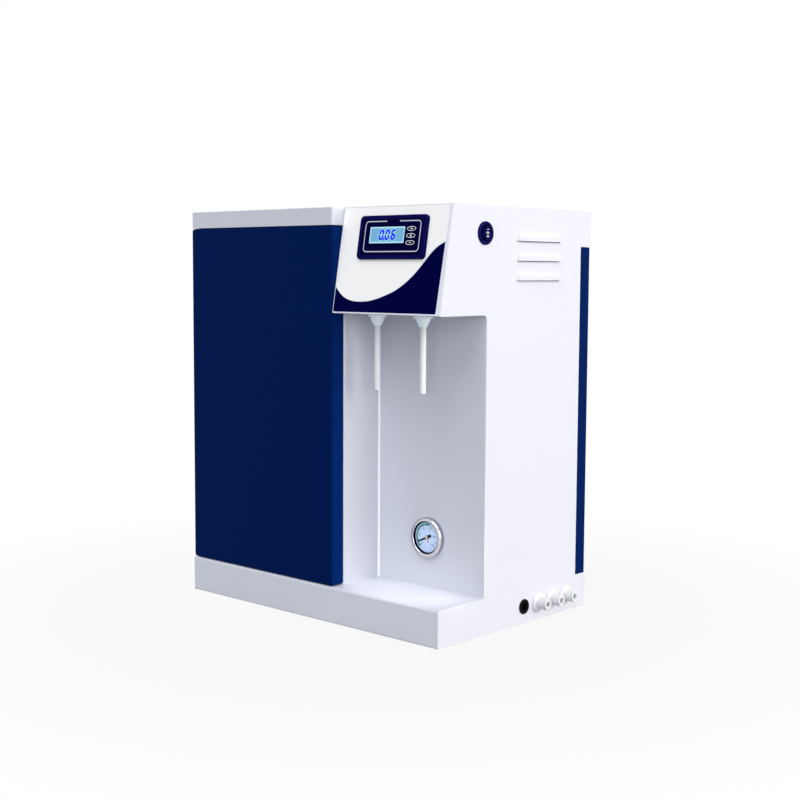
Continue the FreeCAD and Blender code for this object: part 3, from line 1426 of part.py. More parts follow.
def makeCartridges():
    clips = []
    inlineLow = shelf + s.inlineRise
    necks = s.inlineShoulder + s.inlineNeckLength
    high = top - s.inlineDrop - necks - inlineLow
    for number, name in enumerate(inlineNames):
        cartridge = newBody(f"{name}_cartridge")
        neck = s.inlineNeck / 2
        half = s.inlineWidth / 2
        revolve(cartridge, [
            (0, -necks),
            (neck, -necks),
            (neck, -s.inlineShoulder),
            (half, 0, s.foldRadius),
            (half, high, s.foldRadius),
            (neck, high + s.inlineShoulder),
            (neck, high + necks),
            (0, high + necks),
        ])
        x, y = inlinePlace(number)
        place(cartridge, x, y, inlineLow)
        for rise in (s.clipLowRise, high - s.clipDrop - s.clipHeight):
            clips.append(makeClip(x, y, inlineLow + rise, s.inlineWidth, True))
    for number, name in enumerate(housingNames):
        x, y = housingPlace(number)
        housing = newBody(f"{name}_housing")
        half = s.housingWidth / 2
        cap = s.housingCap / 2
        capLow = s.housingLength - s.housingCapHeight
        neck = s.inlineNeck / 2
        revolve(housing, [
            (0, 0),
            (half, 0, s.inlineShoulder),
            (half, capLow),
            (cap, capLow, s.tightFold),
            (cap, s.housingLength, s.foldRadius),
            (neck, s.housingLength),
            (neck, s.housingLength + s.inlineNeckLength),
            (0, s.housingLength + s.inlineNeckLength),
        ])
        groove = newSketch(housing, "XY_Plane", capLow + s.foldRadius)
        x0 = cap - s.housingGrooveDeep
        y0 = -s.housingGrooveWidth / 2
        drawOutline(groove, rectangle(x0, y0, cap + s.overrun, y0 + s.housingGrooveWidth))
        cut = pocket(housing, groove, s.housingCapHeight, reverse=True)
        ring = housing.newObject("PartDesign::PolarPattern", "grip_grooves")
        ring.Originals = [cut]
        ring.Axis = (groove, ["N_Axis"])
        ring.Angle = 360
        bind(ring, "Occurrences", s.housingGrooves)
        housing.Tip = ring
        doc.recompute()
        place(housing, x, y, shelf)
        for rise in (s.clipLowRise, capLow - s.clipDrop - s.clipHeight):
            clips.append(makeClip(x, y, shelf + rise, s.housingWidth, False))
    keep(grouped("clips", clips), "cartridge_clips")


# The pump's axis, in the middle behind the bay.
def pumpPlace():
    return (division + right) / 2, shelf + s.pumpUp


def makePump():
    x, z = pumpPlace()
    motor = newBody("pump_motor")
    half = s.motorWidth / 2
    boss = s.pumpPortWidth / 2
    revolve(motor, [
        (0, 0),
        (half, 0),
        (half, motorLength - s.inlineShoulder),
        (half - s.clampGauge, motorLength - s.inlineShoulder),
        (half - s.clampGauge, motorLength, s.tightFold),
        (boss, motorLength),
        (boss, motorLength + s.tightFold),
        (0, motorLength + s.tightFold),
    ])
    place(motor, x, motorStart, z, (-1, 0, 0), 90)

    head = newBody("pump_head")
    shape = newSketch(head, "XZ_Plane", pumpStart)
    drawOutline(shape, midRectangle(x, z, s.pumpHeadWidth, s.pumpHeadWidth, s.pumpHeadRound))
    pad(head, shape, s.pumpHeadLength)
    ports = newSketch(head, "XY_Plane", z + s.pumpHeadWidth / 2 - s.overrun)
    for side in (-1, 1):
        across = x + side * s.pumpPortWidth
        drawCircle(ports, across, pumpStart + s.pumpHeadLength / 2, s.pumpPortWidth)
    pad(head, ports, s.pumpPortReach + s.overrun)

    cradle = newBody("pump_cradle")
    low = z - s.pumpHeadWidth / 2 - s.cradleGauge
    x0 = x - s.cradleWidth / 2
    plate = newSketch(cradle, "XY_Plane", low)
    end = rear - s.motorRear
    drawOutline(plate, rectangle(x0, pumpStart, x0 + s.cradleWidth, end, s.foldRadius))
    pad(cradle, plate, s.cradleGauge)
    inset = s.bushWidth / 2
    bushes = newSketch(cradle, "XY_Plane", shelf)
    for across in (x0 + inset, x0 + s.cradleWidth - inset):
        for back in (pumpStart + inset, end - inset):
            drawCircle(bushes, across, back, s.bushWidth)
    pad(cradle, bushes, low - shelf)
    saddle = newSketch(cradle, "YZ_Plane", x - s.motorWidth / 4)
    y0 = motorStart + motorLength / 3
    drawOutline(saddle, rectangle(y0, low + s.cradleGauge / 2, y0 + s.bushWidth, z - s.saddleDrop))
    pad(cradle, saddle, s.motorWidth / 2)
    bed = newSketch(cradle, "XZ_Plane", motorStart)
    drawCircle(bed, x, z, s.motorWidth + 2 * s.axleFit)
    pocket(cradle, bed, motorLength, reverse=False)


# The power supply hangs on the right side panel with its fins inward.
def makeSupply():
    supply = newBody("power_supply")
    x0 = right - gauge - s.supplyWidth
    y0 = bayWall + s.flangeDepth + s.supplyGap
    z1 = headLow - s.supplyDrop
    z0 = z1 - s.supplyHeight
    base = newSketch(supply, "YZ_Plane", x0)
    drawOutline(base, rectangle(y0, z0, y0 + s.supplyLength, z1, s.tightFold))
    pad(supply, base, s.supplyWidth)
    fin = newSketch(supply, "XY_Plane", z1)
    y1 = y0 + s.supplyLength / s.supplyFins / 2
    drawOutline(fin, rectangle(x0 - s.overrun, y1, x0 + s.supplyFinDeep, y1 + s.supplyFin))
    cut = pocket(supply, fin, s.supplyHeight - s.foldRadius)
    row = supply.newObject("PartDesign::LinearPattern", "fin_grooves")
    row.Originals = [cut]
    row.Direction = (fin, ["V_Axis"])
    bind(row, "Length", s.supplyLength * (s.supplyFins - 1) / s.supplyFins)
    bind(row, "Occurrences", s.supplyFins)
    supply.Tip = row
    doc.recompute()


def makeValve():
    valve = newBody("inlet_valve")
    x = division + s.valveAcross
    y = front + s.valveBack
    base = shelf + s.valveStandoff
    foot = newSketch(valve, "XY_Plane", shelf)
    drawOutline(foot, midRectangle(x, y, s.valveBodyWidth, s.valveBodyDepth / 2, s.tightFold))
    pad(valve, foot, s.valveStandoff)
    shape = newSketch(valve, "XY_Plane", base)
    drawOutline(shape, midRectangle(x, y, s.valveBodyWidth, s.valveBodyDepth, s.tightFold))
    pad(valve, shape, s.valveBodyHeight)
    coil = newSketch(valve, "XY_Plane", base + s.valveBodyHeight)
    drawCircle(coil, x, y, s.valveCoilWidth)
    pad(valve, coil, s.valveCoilHeight)


# A tube through points with a tangent arc at every corner, as straight runs and bends.
def makeTube(points):
    places = [vec(*[asSize(number).value for number in point]) for point in points]
    edges = []
    start = places[0]
    for before, corner, after in zip(places, places[1:], places[2:]):
        back = towards(corner, before)
        ahead = towards(corner, after)
        half = back.getAngle(ahead) / 2
        reach = s.bendShare.value * min((corner - before).Length, (after - corner).Length)
        radius = reach * math.tan(half)
        middle = corner + (back + ahead).normalize() * (radius / math.sin(half) - radius)
        edges.append(Part.LineSegment(start, corner + back * reach).toShape())
        edges.append(Part.Arc(corner + back * reach, middle, corner + ahead * reach).toShape())
        start = corner + ahead * reach
    edges.append(Part.LineSegment(start, places[-1]).toShape())
    path = Part.Wire(edges)
    along = towards(places[0], places[1])
    ring = Part.Wire([Part.Circle(places[0], along, s.tubeWidth.value / 2).toShape()])
    return path.makePipeShell([ring], True, False)


def makeTubes():
    necks = s.inlineShoulder + s.inlineNeckLength
    inlineTop = top - s.inlineDrop
    inlineEnd = shelf + s.inlineRise - necks
    loop = inlineTop + s.tubeLoop
    dip = inlineEnd - s.tubeRise
    first, depth = inlinePlace(0)
    second = inlinePlace(1)[0]
    third = inlinePlace(2)[0]
    pumpX, pumpMid = pumpPlace()
    pumpY = pumpStart + s.pumpHeadLength / 2
    pumpZ = pumpMid + s.pumpHeadWidth / 2 + s.pumpPortReach
    membraneX, housingY = housingPlace(0)
    polishX = housingPlace(1)[0]
    housingZ = shelf + s.housingLength + s.inlineNeckLength
    routes = [
        [(first, depth, inlineTop), (first, depth, loop), (second, depth, loop), (second, depth, inlineTop)],
        [(second, depth, inlineEnd), (second, depth, dip), (third, depth, dip), (third, depth, inlineEnd)],
        [(third, depth, inlineTop), (third, depth, loop), (pumpX - s.pumpPortWidth, pumpY, loop),
         (pumpX - s.pumpPortWidth, pumpY, pumpZ)],
        [(pumpX + s.pumpPortWidth, pumpY, pumpZ), (pumpX + s.pumpPortWidth, pumpY, loop + s.tubeRise),
         (membraneX, housingY, loop + s.tubeRise), (membraneX, housingY, housingZ)],
    ]
    tubes = doc.addObject("Part::Feature", "water_tubes")
    tubes.Shape = Part.Compound([makeTube(route) for route in routes])
    keep(tubes, "water_tubes")


def findFaults():
    faults = []
    for thing in doc.Objects:
        if "Invalid" in thing.State or "Error" in thing.State:
            faults.append(f"{thing.Label}: {thing.State}")
    for thing in subParts:
        if thing.Shape.isNull() or not thing.Shape.isValid():
            faults.append(f"{thing.Label}: its shape is not sound")
    return faults


makeBasePan()
makeChassisDeck()
makeLeftSidePanel()
makeRightSidePanel()
makeBayWalls()
makeHeadPlate()
makeTopCover()
makeRearCover()
makeRearPosts()
makeFeet()
makeDoor()
makeDoorHardware()
makeFascia()
makeController()
makeSwitch()
makeGauge()
lockNuts = []
makeNozzles(lockNuts)
makePorts(lockNuts)
keep(grouped("nuts", lockNuts), "lock_nuts")
makeGrommet()
makeRack()
makeCartridges()
makePump()
makeSupply()
makeValve()
makeTubes()
doc.recompute()
faults = findFaults()
if faults:
    raise ValueError("; ".join(faults))
os.makedirs("parts", exist_ok=True)
for thing in subParts:
    thing.Shape.exportStep(f"parts/{thing.Label}.step")
    print(thing.Label, len(thing.Shape.Solids), round(thing.Shape.Volume))
print(len(subParts), "sub-parts")
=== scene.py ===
import bmesh
import bpy
import math
from mathutils import Matrix, Vector


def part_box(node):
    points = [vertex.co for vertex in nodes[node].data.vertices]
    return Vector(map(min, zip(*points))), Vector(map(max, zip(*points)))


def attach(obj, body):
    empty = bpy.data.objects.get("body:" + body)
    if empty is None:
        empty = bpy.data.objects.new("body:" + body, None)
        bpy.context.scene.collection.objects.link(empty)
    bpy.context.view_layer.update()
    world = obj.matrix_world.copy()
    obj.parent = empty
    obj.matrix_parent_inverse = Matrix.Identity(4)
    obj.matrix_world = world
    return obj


# Ultrapure water system: looks, small printed parts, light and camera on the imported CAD.
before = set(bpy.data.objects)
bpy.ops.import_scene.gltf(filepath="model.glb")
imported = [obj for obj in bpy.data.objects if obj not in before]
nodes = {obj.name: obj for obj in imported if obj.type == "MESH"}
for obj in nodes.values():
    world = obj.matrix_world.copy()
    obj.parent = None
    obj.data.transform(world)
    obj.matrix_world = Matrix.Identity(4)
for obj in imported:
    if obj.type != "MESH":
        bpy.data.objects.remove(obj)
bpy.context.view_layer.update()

mm = 0.001
meshing = {
    "weldGap": 0.002,
    "cadSharp": 28,
    "pieceSharp": 30,
}


def toLinear(hexColour):
    channels = []
    for start in (1, 3, 5):
        value = int(hexColour[start:start + 2], 16) / 255
        channels.append(value / 12.92 if value <= 0.04045 else ((value + 0.055) / 1.055) ** 2.4)
    return (*channels, 1)


def addNode(tree, kind, sockets=None, **settings):
    node = tree.nodes.new(kind)
    for name, value in settings.items():
        setattr(node, name, value)
    for name, value in (sockets or {}).items():
        if isinstance(value, bpy.types.NodeSocket):
            tree.links.new(value, node.inputs[name])
        else:
            node.inputs[name].default_value = value
    return node


# The shader's own sockets take the numbers that are the same all over.
def newMaterial(name, hexColour, roughness, **shaderSockets):
    material = bpy.data.materials.new(name)
    material.use_nodes = True
    material.diffuse_color = toLinear(hexColour)
    shader = material.node_tree.nodes["Principled BSDF"]
    shader.inputs["Base Color"].default_value = toLinear(hexColour)
    shader.inputs["Roughness"].default_value = roughness
    for name, value in shaderSockets.items():
        shader.inputs[name.replace("_", " ")].default_value = value
    return material


# Noise of a real grain size, in mm, as a bump of a real depth and a slight spread of gloss.
def addGrain(material, size, depth, glossSpread=0.0, stretch=(1, 1, 1), detail=2.0):
    tree = material.node_tree
    shader = tree.nodes["Principled BSDF"]
    place = addNode(tree, "ShaderNodeTexCoord")
    scaled = addNode(tree, "ShaderNodeMapping", {
        "Vector": place.outputs["Object"],
        "Scale": tuple(factor / (size * mm) for factor in stretch),
    })
    grain = addNode(tree, "ShaderNodeTexNoise", {
        "Vector": scaled.outputs["Vector"],
        "Scale": 1.0,
        "Detail": detail,
    })
    relief = addNode(tree, "ShaderNodeBump", {
        "Height": grain.outputs["Fac"],
        "Distance": depth * mm,
        "Strength": 1.0,
    })
    tree.links.new(relief.outputs["Normal"], shader.inputs["Normal"])
    if glossSpread:
        middle = shader.inputs["Roughness"].default_value
        spread = addNode(tree, "ShaderNodeMapRange", {
            "Value": grain.outputs["Fac"],
            "To Min": middle - glossSpread,
            "To Max": middle + glossSpread,
        })
        tree.links.new(spread.outputs["Result"], shader.inputs["Roughness"])
    return material


# Slow, faint shifts of shade over a wide surface, as real finishes have.
def addShadeDrift(material, hexColour, size, amount):
    tree = material.node_tree
    shader = tree.nodes["Principled BSDF"]
    place = addNode(tree, "ShaderNodeTexCoord")
    drift = addNode(tree, "ShaderNodeTexNoise", {
        "Vector": place.outputs["Object"],
        "Scale": 1 / (size * mm),
        "Detail": 1.0,
    })
    colour = Vector(toLinear(hexColour)[:3])
    ramp = addNode(tree, "ShaderNodeMix", {"Factor": drift.outputs["Fac"]}, data_type="RGBA")
    ramp.inputs[6].default_value = (*(colour * (1 - amount)), 1)
    ramp.inputs[7].default_value = (*(colour * (1 + amount)), 1)
    tree.links.new(ramp.outputs[2], shader.inputs["Base Color"])
    return material


# A second colour, as painted light and shade, where a surface turns away from the front; the change lies
# between two slants.
sideTurn = (0.05, 0.5)


def addPaintedSideShading(material, front, side):
    tree = material.node_tree
    geometry = addNode(tree, "ShaderNodeNewGeometry")
    facing = addNode(tree, "ShaderNodeVectorMath", {0: geometry.outputs["Normal"], 1: (0, -1, 0)},
                     operation="DOT_PRODUCT")
    share = addNode(tree, "ShaderNodeMapRange", {
        "Value": facing.outputs["Value"],
        "From Min": sideTurn[0],
        "From Max": sideTurn[1],
    }, interpolation_type="SMOOTHSTEP")
    colour = addNode(tree, "ShaderNodeMix", {"Factor": share.outputs["Result"]}, data_type="RGBA")
    colour.inputs[6].default_value = toLinear(side)
    colour.inputs[7].default_value = toLinear(front)
    tree.links.new(colour.outputs[2], tree.nodes["Principled BSDF"].inputs["Base Color"])


coat = {
    "white": "#d3d5dc",
    # The base pan's lighter white, painted light on the shelf and the base's front.
    "baseWhitePaintedLight": "#dcdee5",
    "blue": "#001b50",
    # A lighter blue for the door's folded sides, painted light.
    "blueSidePaintedLight": "#022462",
    "peelSize": 1.1,
    "peelDepth": 0.004,
    "whiteRoughness": 0.42,
    "blueRoughness": 0.36,
    "whiteSpecular": 0.3,
    "blueSpecular": 0.012,
}

# Epoxy powder coat on steel, sprayed and baked: an even skin with a faint orange peel and a soft sheen.
whiteCoat = newMaterial("powderCoatWhite", coat["white"], coat["whiteRoughness"],
                        Specular_IOR_Level=coat["whiteSpecular"])
addGrain(whiteCoat, coat["peelSize"], coat["peelDepth"], 0.03)
addShadeDrift(whiteCoat, coat["white"], 160, 0.012)

# The base pan's coat: a shade lighter than the cabinet's, painted light that brightens the shelf and the
# base's front.
baseCoat = newMaterial("powderCoatBase", coat["baseWhitePaintedLight"], coat["whiteRoughness"],
                       Specular_IOR_Level=coat["whiteSpecular"])
addGrain(baseCoat, coat["peelSize"], coat["peelDepth"], 0.03)
addShadeDrift(baseCoat, coat["baseWhitePaintedLight"], 160, 0.012)

# The same coat in dark blue: deep colour, a weak sheen that hardly lifts it.
blueCoat = newMaterial("powderCoatBlue", coat["blue"], coat["blueRoughness"],
                       Specular_IOR_Level=coat["blueSpecular"])
addGrain(blueCoat, coat["peelSize"], coat["peelDepth"], 0.04)
addShadeDrift(blueCoat, coat["blue"], 140, 0.05)

# The door's coat: a livelier blue on its folded sides, as in the photo; that lighter side colour is painted
# light.
doorCoat = newMaterial("powderCoatDoor", coat["blue"], coat["blueRoughness"],
                       Specular_IOR_Level=coat["blueSpecular"])
addGrain(doorCoat, coat["peelSize"], coat["peelDepth"], 0.04)
addPaintedSideShading(doorCoat, coat["blue"], coat["blueSidePaintedLight"])

# Bright zinc plate on folded steel: cool grey metal with blurred patches, dull beside chrome.
zincPlate = newMaterial("zincPlatedSteel", "#b9bec4", 0.42, Metallic=1.0)
addGrain(zincPlate, 6, 0.004, 0.08, detail=5.0)
addShadeDrift(zincPlate, "#b9bec4", 12, 0.06)

# Nitrile rubber, moulded: near black, matt, with a fine skin.
nitrileRubber = newMaterial("nitrileRubber", "#050506", 0.72, Specular_IOR_Level=0.05)
addGrain(nitrileRubber, 0.5, 0.01, 0.05)

# Painted highlight: a very white, waxy strip beside the coated sheet, standing for the line of light along
# the bay's corner.
cornerHighlightWhite = newMaterial("cornerHighlightWhite", "#fcfdfd", 0.45, Specular_IOR_Level=0.3)
addGrain(cornerHighlightWhite, 3, 0.02, 0.04)

# Turned steel pins: fine rings round the axis, bright edges.
turnedSteel = newMaterial("turnedSteel", "#a9adb3", 0.3, Metallic=1.0)
addGrain(turnedSteel, 0.5, 0.003, 0.06, stretch=(0.1, 0.1, 1))

# ABS, moulded black: matt with a spark-eroded grain.
blackAbs = newMaterial("mouldedBlackAbs", "#101114", 0.55)
addGrain(blackAbs, 0.5, 0.012, 0.05)

# Screen-printed polyester film: flat, very even, hardly any sheen. Its faint cream glow is painted light,
# lifting it brighter than the lamps make it.
creamFilm = newMaterial("printedPolyesterFilm", "#f8f6f2", 0.5, Specular_IOR_Level=0.25,
                        Emission_Color=toLinear("#fff9f0"), Emission_Strength=0.13)
addGrain(creamFilm, 0.6, 0.0015, 0.02)
addShadeDrift(creamFilm, "#f6f5f2", 90, 0.006)
navyInk = newMaterial("screenInkNavy", "#00033c", 0.46, Specular_IOR_Level=0.01)
addGrain(navyInk, 0.6, 0.0015, 0.02)
whiteInk = newMaterial("screenInkWhite", "#fbfbfd", 0.5, Specular_IOR_Level=0.25)
addGrain(whiteInk, 0.6, 0.0015, 0.02)
borderInk = newMaterial("screenInkBorder", "#eeeff8", 0.46, Specular_IOR_Level=0.3)
addGrain(borderInk, 0.6, 0.0015, 0.02)
silverInk = newMaterial("screenInkSilver", "#cbc8da", 0.45, Metallic=0.2)
addGrain(silverInk, 0.3, 0.002, 0.05)

# Polycarbonate bezel, moulded dark blue: satin, its rounded edges catch a violet-blue line of light.
bezelPlastic = newMaterial("mouldedBlueBezel", "#03034a", 0.2, Specular_IOR_Level=0.03)
addGrain(bezelPlastic, 0.5, 0.004, 0.03)

# Hard-coated film over the controller's face: almost black blue, smooth.
faceFilm = newMaterial("hardCoatedFaceFilm", "#000034", 0.3, Specular_IOR_Level=0.015)
addGrain(faceFilm, 0.8, 0.001, 0.02)
keyFilm = newMaterial("embossedKeyFilm", "#01012c", 0.3, Specular_IOR_Level=0.02)
addGrain(keyFilm, 0.4, 0.002, 0.02)

# Solder mask on glass-epoxy board: green, satin, with the weave just under it.
circuitBoard = newMaterial("solderMaskBoard", "#0f4a2a", 0.35)
addGrain(circuitBoard, 0.9, 0.006, 0.05)

# Nylon switch body, moulded dark blue and glossy: a bright rim line on the lit side.
switchNylon = newMaterial("mouldedBlueNylon", "#03064a", 0.12, Specular_IOR_Level=0.035)
addGrain(switchNylon, 0.6, 0.003, 0.03)
rockerPlastic = newMaterial("mouldedRockerPlastic", "#03003f", 0.18, Specular_IOR_Level=0.03)
addGrain(rockerPlastic, 0.6, 0.003, 0.03)

# Plain brass, machined: warm metal with fine tool lines.
plainBrass = newMaterial("machinedBrass", "#c9a257", 0.34, Metallic=1.0)
addGrain(plainBrass, 0.4, 0.004, 0.08, stretch=(1, 0.15, 1))

# Polished stainless steel, spun and rolled: mirror-like with the softest blur.
# Its outer side is greyer: painted shade on the side turned from the front.
polishedSteel = newMaterial("polishedStainless", "#d2d0d3", 0.17, Metallic=1.0)
addGrain(polishedSteel, 0.7, 0.0015, 0.03)
addPaintedSideShading(polishedSteel, "#d2d0d3", "#aeadb9")

# Gauge window, thin flat glass: clear, it hardly bends or throws back light.
gaugeGlass = newMaterial("gaugeGlass", "#ffffff", 0.02, Transmission_Weight=1.0, IOR=1.15,
                         Specular_IOR_Level=0.2)

# Enamelled aluminium dial: pale blue, smooth and flat, with a faint blue glow that is painted light to
# brighten it behind the glass.
dialEnamel = newMaterial("enamelledDial", "#b7ccea", 0.5, Specular_IOR_Level=0.1,
                         Emission_Color=toLinear("#7ab8ff"), Emission_Strength=0.04)
addGrain(dialEnamel, 0.5, 0.002, 0.03)
needleEnamel = newMaterial("blackNeedleEnamel", "#010106", 0.5, Specular_IOR_Level=0.1)
addGrain(needleEnamel, 0.4, 0.002, 0.03)
greenInk = newMaterial("dialInkGreen", "#067a5c", 0.5, Specular_IOR_Level=0.1)
addGrain(greenInk, 0.4, 0.001, 0.02)
blueInk = newMaterial("dialInkBlue", "#101f50", 0.5, Specular_IOR_Level=0.1)
addGrain(blueInk, 0.4, 0.001, 0.02)
orangeInk = newMaterial("dialInkOrange", "#e8813c", 0.5)
addGrain(orangeInk, 0.4, 0.001, 0.02)
# Dark navy for the gauge's seal and spacer, partly painted shade inside the bezel's rim.
sealRubberShade = newMaterial("darkSealRubberShade", "#020648", 0.6, Specular_IOR_Level=0.05)
addGrain(sealRubberShade, 0.3, 0.004, 0.03)
ivoryCap = newMaterial("ivoryNeedleCap", "#f2ead8", 0.4)
addGrain(ivoryCap, 0.3, 0.002, 0.02)

# Natural polypropylene nozzle, moulded: milky, lets light in, pale blue-grey in shade. Its faint pale glow
# is painted light, lifting it in the shade under the head.
milkyNozzle = newMaterial("naturalPolypropylene", "#f0f9fd", 0.3, Transmission_Weight=0.1, IOR=1.49,
                          Subsurface_Weight=0.3, Subsurface_Scale=0.003,
                          Emission_Color=toLinear("#d5ecf5"), Emission_Strength=0.12)
addGrain(milkyNozzle, 0.9, 0.004, 0.04)

# Extruded tube of fluoropolymer: clearer than the nozzle, with long draw lines.
drawnTube = newMaterial("drawnClearTube", "#f4fafc", 0.2, Transmission_Weight=0.25, IOR=1.4)
addGrain(drawnTube, 0.8, 0.004, 0.04, stretch=(1, 1, 0.05))

# Acetal fittings, moulded white: dense, waxy, soft edges.
whiteAcetal = newMaterial("mouldedWhiteAcetal", "#dadbdc", 0.34, Specular_IOR_Level=0.25,
                          Subsurface_Weight=0.15, Subsurface_Scale=0.001)
addGrain(whiteAcetal, 0.5, 0.004, 0.04)

# Cartridge shells, blow-moulded polypropylene: white with a faint waviness.
cartridgeShell = newMaterial("blownPolypropylene", "#e4e7ec", 0.36)
addGrain(cartridgeShell, 5, 0.03, 0.05)
housingShell = newMaterial("mouldedHousing", "#d7dce4", 0.4)
addGrain(housingShell, 0.8, 0.01, 0.05)

# Motor can, stoved satin black: smooth with a fine dust of grain.
motorEnamel = newMaterial("stovedBlackEnamel", "#15161a", 0.4)
addGrain(motorEnamel, 0.7, 0.006, 0.05)

# Extruded aluminium, clear anodised: pale grey metal with long die lines.
anodised = newMaterial("anodisedAluminium", "#b4b7bc", 0.38, Metallic=1.0)
addGrain(anodised, 0.6, 0.005, 0.06, stretch=(1, 0.05, 1))

# Quarter-inch polyethylene tubing: white, waxy, slightly see-through.
waxyTubing = newMaterial("polyethyleneTubing", "#e6ebf2", 0.38, Subsurface_Weight=0.3,
                         Subsurface_Scale=0.002)
addGrain(waxyTubing, 1.5, 0.006, 0.04)

finishes = {
    whiteCoat: ["left_side_panel", "right_side_panel", "bay_back_wall", "bay_left_wall", "head_plate",
                "top_cover"],
    baseCoat: ["base_pan"],
    blueCoat: ["rear_cover"],
    doorCoat: ["door_panel"],
    zincPlate: ["chassis_deck", "rear_posts", "cartridge_rack", "pump_cradle"],
    nitrileRubber: ["rubber_feet", "cable_grommet"],
    turnedSteel: ["hinge_pin_lower", "hinge_pin_upper", "door_strike"],
    blackAbs: ["magnetic_catch", "controller_case", "controller_clamps", "pump_head", "inlet_valve"],
    creamFilm: ["fascia_overlay"],
    bezelPlastic: ["controller_bezel"],
    faceFilm: ["controller_face"],
    keyFilm: ["key_lower", "key_middle", "key_upper"],
    circuitBoard: ["controller_board"],
    switchNylon: ["switch_housing"],
    rockerPlastic: ["switch_rocker"],
    plainBrass: ["switch_terminals", "gauge_movement"],
    polishedSteel: ["gauge_case", "gauge_bezel"],
    gaugeGlass: ["gauge_lens"],
    dialEnamel: ["gauge_dial"],
    needleEnamel: ["gauge_pointer"],
    milkyNozzle: ["nozzle_left", "nozzle_right"],
    drawnTube: ["spout_tube_left", "spout_tube_right"],
    whiteAcetal: ["port_drain", "port_pure", "port_feed", "collet_drain", "collet_pure", "collet_feed",
                  "lock_nuts", "cartridge_clips"],
    cartridgeShell: ["sediment_cartridge", "carbon_cartridge", "softening_cartridge"],
    housingShell: ["membrane_housing", "polishing_housing"],
    motorEnamel: ["pump_motor"],
    anodised: ["power_supply"],
    waxyTubing: ["water_tubes"],
}


def finishCad(node, material):
    thing = nodes[node]
    thing.data.materials.clear()
    thing.data.materials.append(material)
    for face in thing.data.polygons:
        face.use_smooth = True
    thing.data.set_sharp_from_angle(angle=math.radians(meshing["cadSharp"]))


for material, names in finishes.items():
    for node in names:
        finishCad(node, material)
print("finishes:", len(finishes), "materials on the CAD")


# A piece from a bmesh in its own flat frame, put in place by a matrix and set on a body.
def keepPiece(name, shape, matrix, material, body):
    bmesh.ops.remove_doubles(shape, verts=shape.verts, dist=meshing["weldGap"] * mm)
    bmesh.ops.recalc_face_normals(shape, faces=shape.faces)
    mesh = bpy.data.meshes.new(name)
    shape.to_mesh(mesh)
    shape.free()
    for face in mesh.polygons:
        face.use_smooth = True
    mesh.set_sharp_from_angle(angle=math.radians(meshing["pieceSharp"]))
    mesh.materials.append(material)
    piece = bpy.data.objects.new(name, mesh)
    bpy.context.scene.collection.objects.link(piece)
    piece.matrix_world = matrix
    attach(piece, body)
    return piece


# A closed flat plate between two heights, from an outline in mm that runs anticlockwise.
def addPlate(shape, outline, low, high):
    rings = []
    for height in (low, high):
        rings.append([shape.verts.new((x * mm, y * mm, height * mm)) for x, y in outline])
    shape.faces.new(list(reversed(rings[0])))
    shape.faces.new(rings[1])
    count = len(outline)
    for index in range(count):
        after = (index + 1) % count
        shape.faces.new((rings[0][index], rings[0][after], rings[1][after], rings[1][index]))


# A strip of one width along points in mm, closed or open, as a thin plate.
def addStrip(shape, points, width, low, high, closed=False):
    count = len(points)
    sides = []
    for index, point in enumerate(points):
        here = Vector(point)
        before = Vector(points[(index - 1) % count]) if closed or index else here
        after = Vector(points[(index + 1) % count]) if closed or index < count - 1 else here
        along = (after - before).normalized()
        across = Vector((-along.y, along.x)) * width / 2
        rows = []
        for height in (low, high):
            for offset in (across, -across):
                x, y = here.x + offset.x, here.y + offset.y
                rows.append(shape.verts.new((x * mm, y * mm, height * mm)))
        sides.append(rows)
    for index in range(count if closed else count - 1):
        a0, b0, c0, d0 = sides[index]
        a1, b1, c1, d1 = sides[(index + 1) % count]
        for face in ((c0, d0, d1, c1), (b0, a0, a1, b1), (a0, c0, c1, a1), (d0, b0, b1, d1)):
            shape.faces.new(face)
    if not closed:
        a, b, c, d = sides[0]
        shape.faces.new((a, b, d, c))
        a, b, c, d = sides[-1]
        shape.faces.new((c, d, b, a))


def arcPoints(midX, midY, radius, first, last, steps):
    points = []
    for step in range(steps + 1):
        angle = math.radians(first + (last - first) * step / steps)
        points.append((midX + radius * math.cos(angle), midY + radius * math.sin(angle)))
    return points


def roundedOutline(x0, y0, x1, y1, radius, steps=6):
    points = arcPoints(x1 - radius, y0 + radius, radius, -90, 0, steps)
    points += arcPoints(x1 - radius, y1 - radius, radius, 0, 90, steps)
    points += arcPoints(x0 + radius, y1 - radius, radius, 90, 180, steps)
    points += arcPoints(x0 + radius, y0 + radius, radius, 180, 270, steps)
    return points


# A smooth line through given points, as a Catmull-Rom spline.
def smoothLine(points, steps=10):
    ends = [Vector(points[0]) * 2 - Vector(points[1])] + [Vector(point) for point in points]
    ends.append(Vector(points[-1]) * 2 - Vector(points[-2]))
    line = []
    for a, b, c, d in zip(ends, ends[1:], ends[2:], ends[3:]):
        for step in range(steps):
            t = step / steps
            line.append(tuple(0.5 * (2 * b + (c - a) * t + (2 * a - 5 * b + 4 * c - d) * t ** 2
                                     + (3 * b - a - 3 * c + d) * t ** 3)))
    line.append(tuple(ends[-2]))
    return line


# The head's sloped front: across, up the slope, and out of it.
slope = {
    "corner": (35.55, -134, 355.5),
    "run": 20,
    "rise": 116.5,
}
tilt = math.atan2(slope["run"], slope["rise"])
slopeMatrix = Matrix((
    (1, 0, 0, slope["corner"][0] * mm),
    (0, math.sin(tilt), -math.cos(tilt), slope["corner"][1] * mm),
    (0, math.cos(tilt), math.sin(tilt), slope["corner"][2] * mm),
    (0, 0, 0, 1),
))

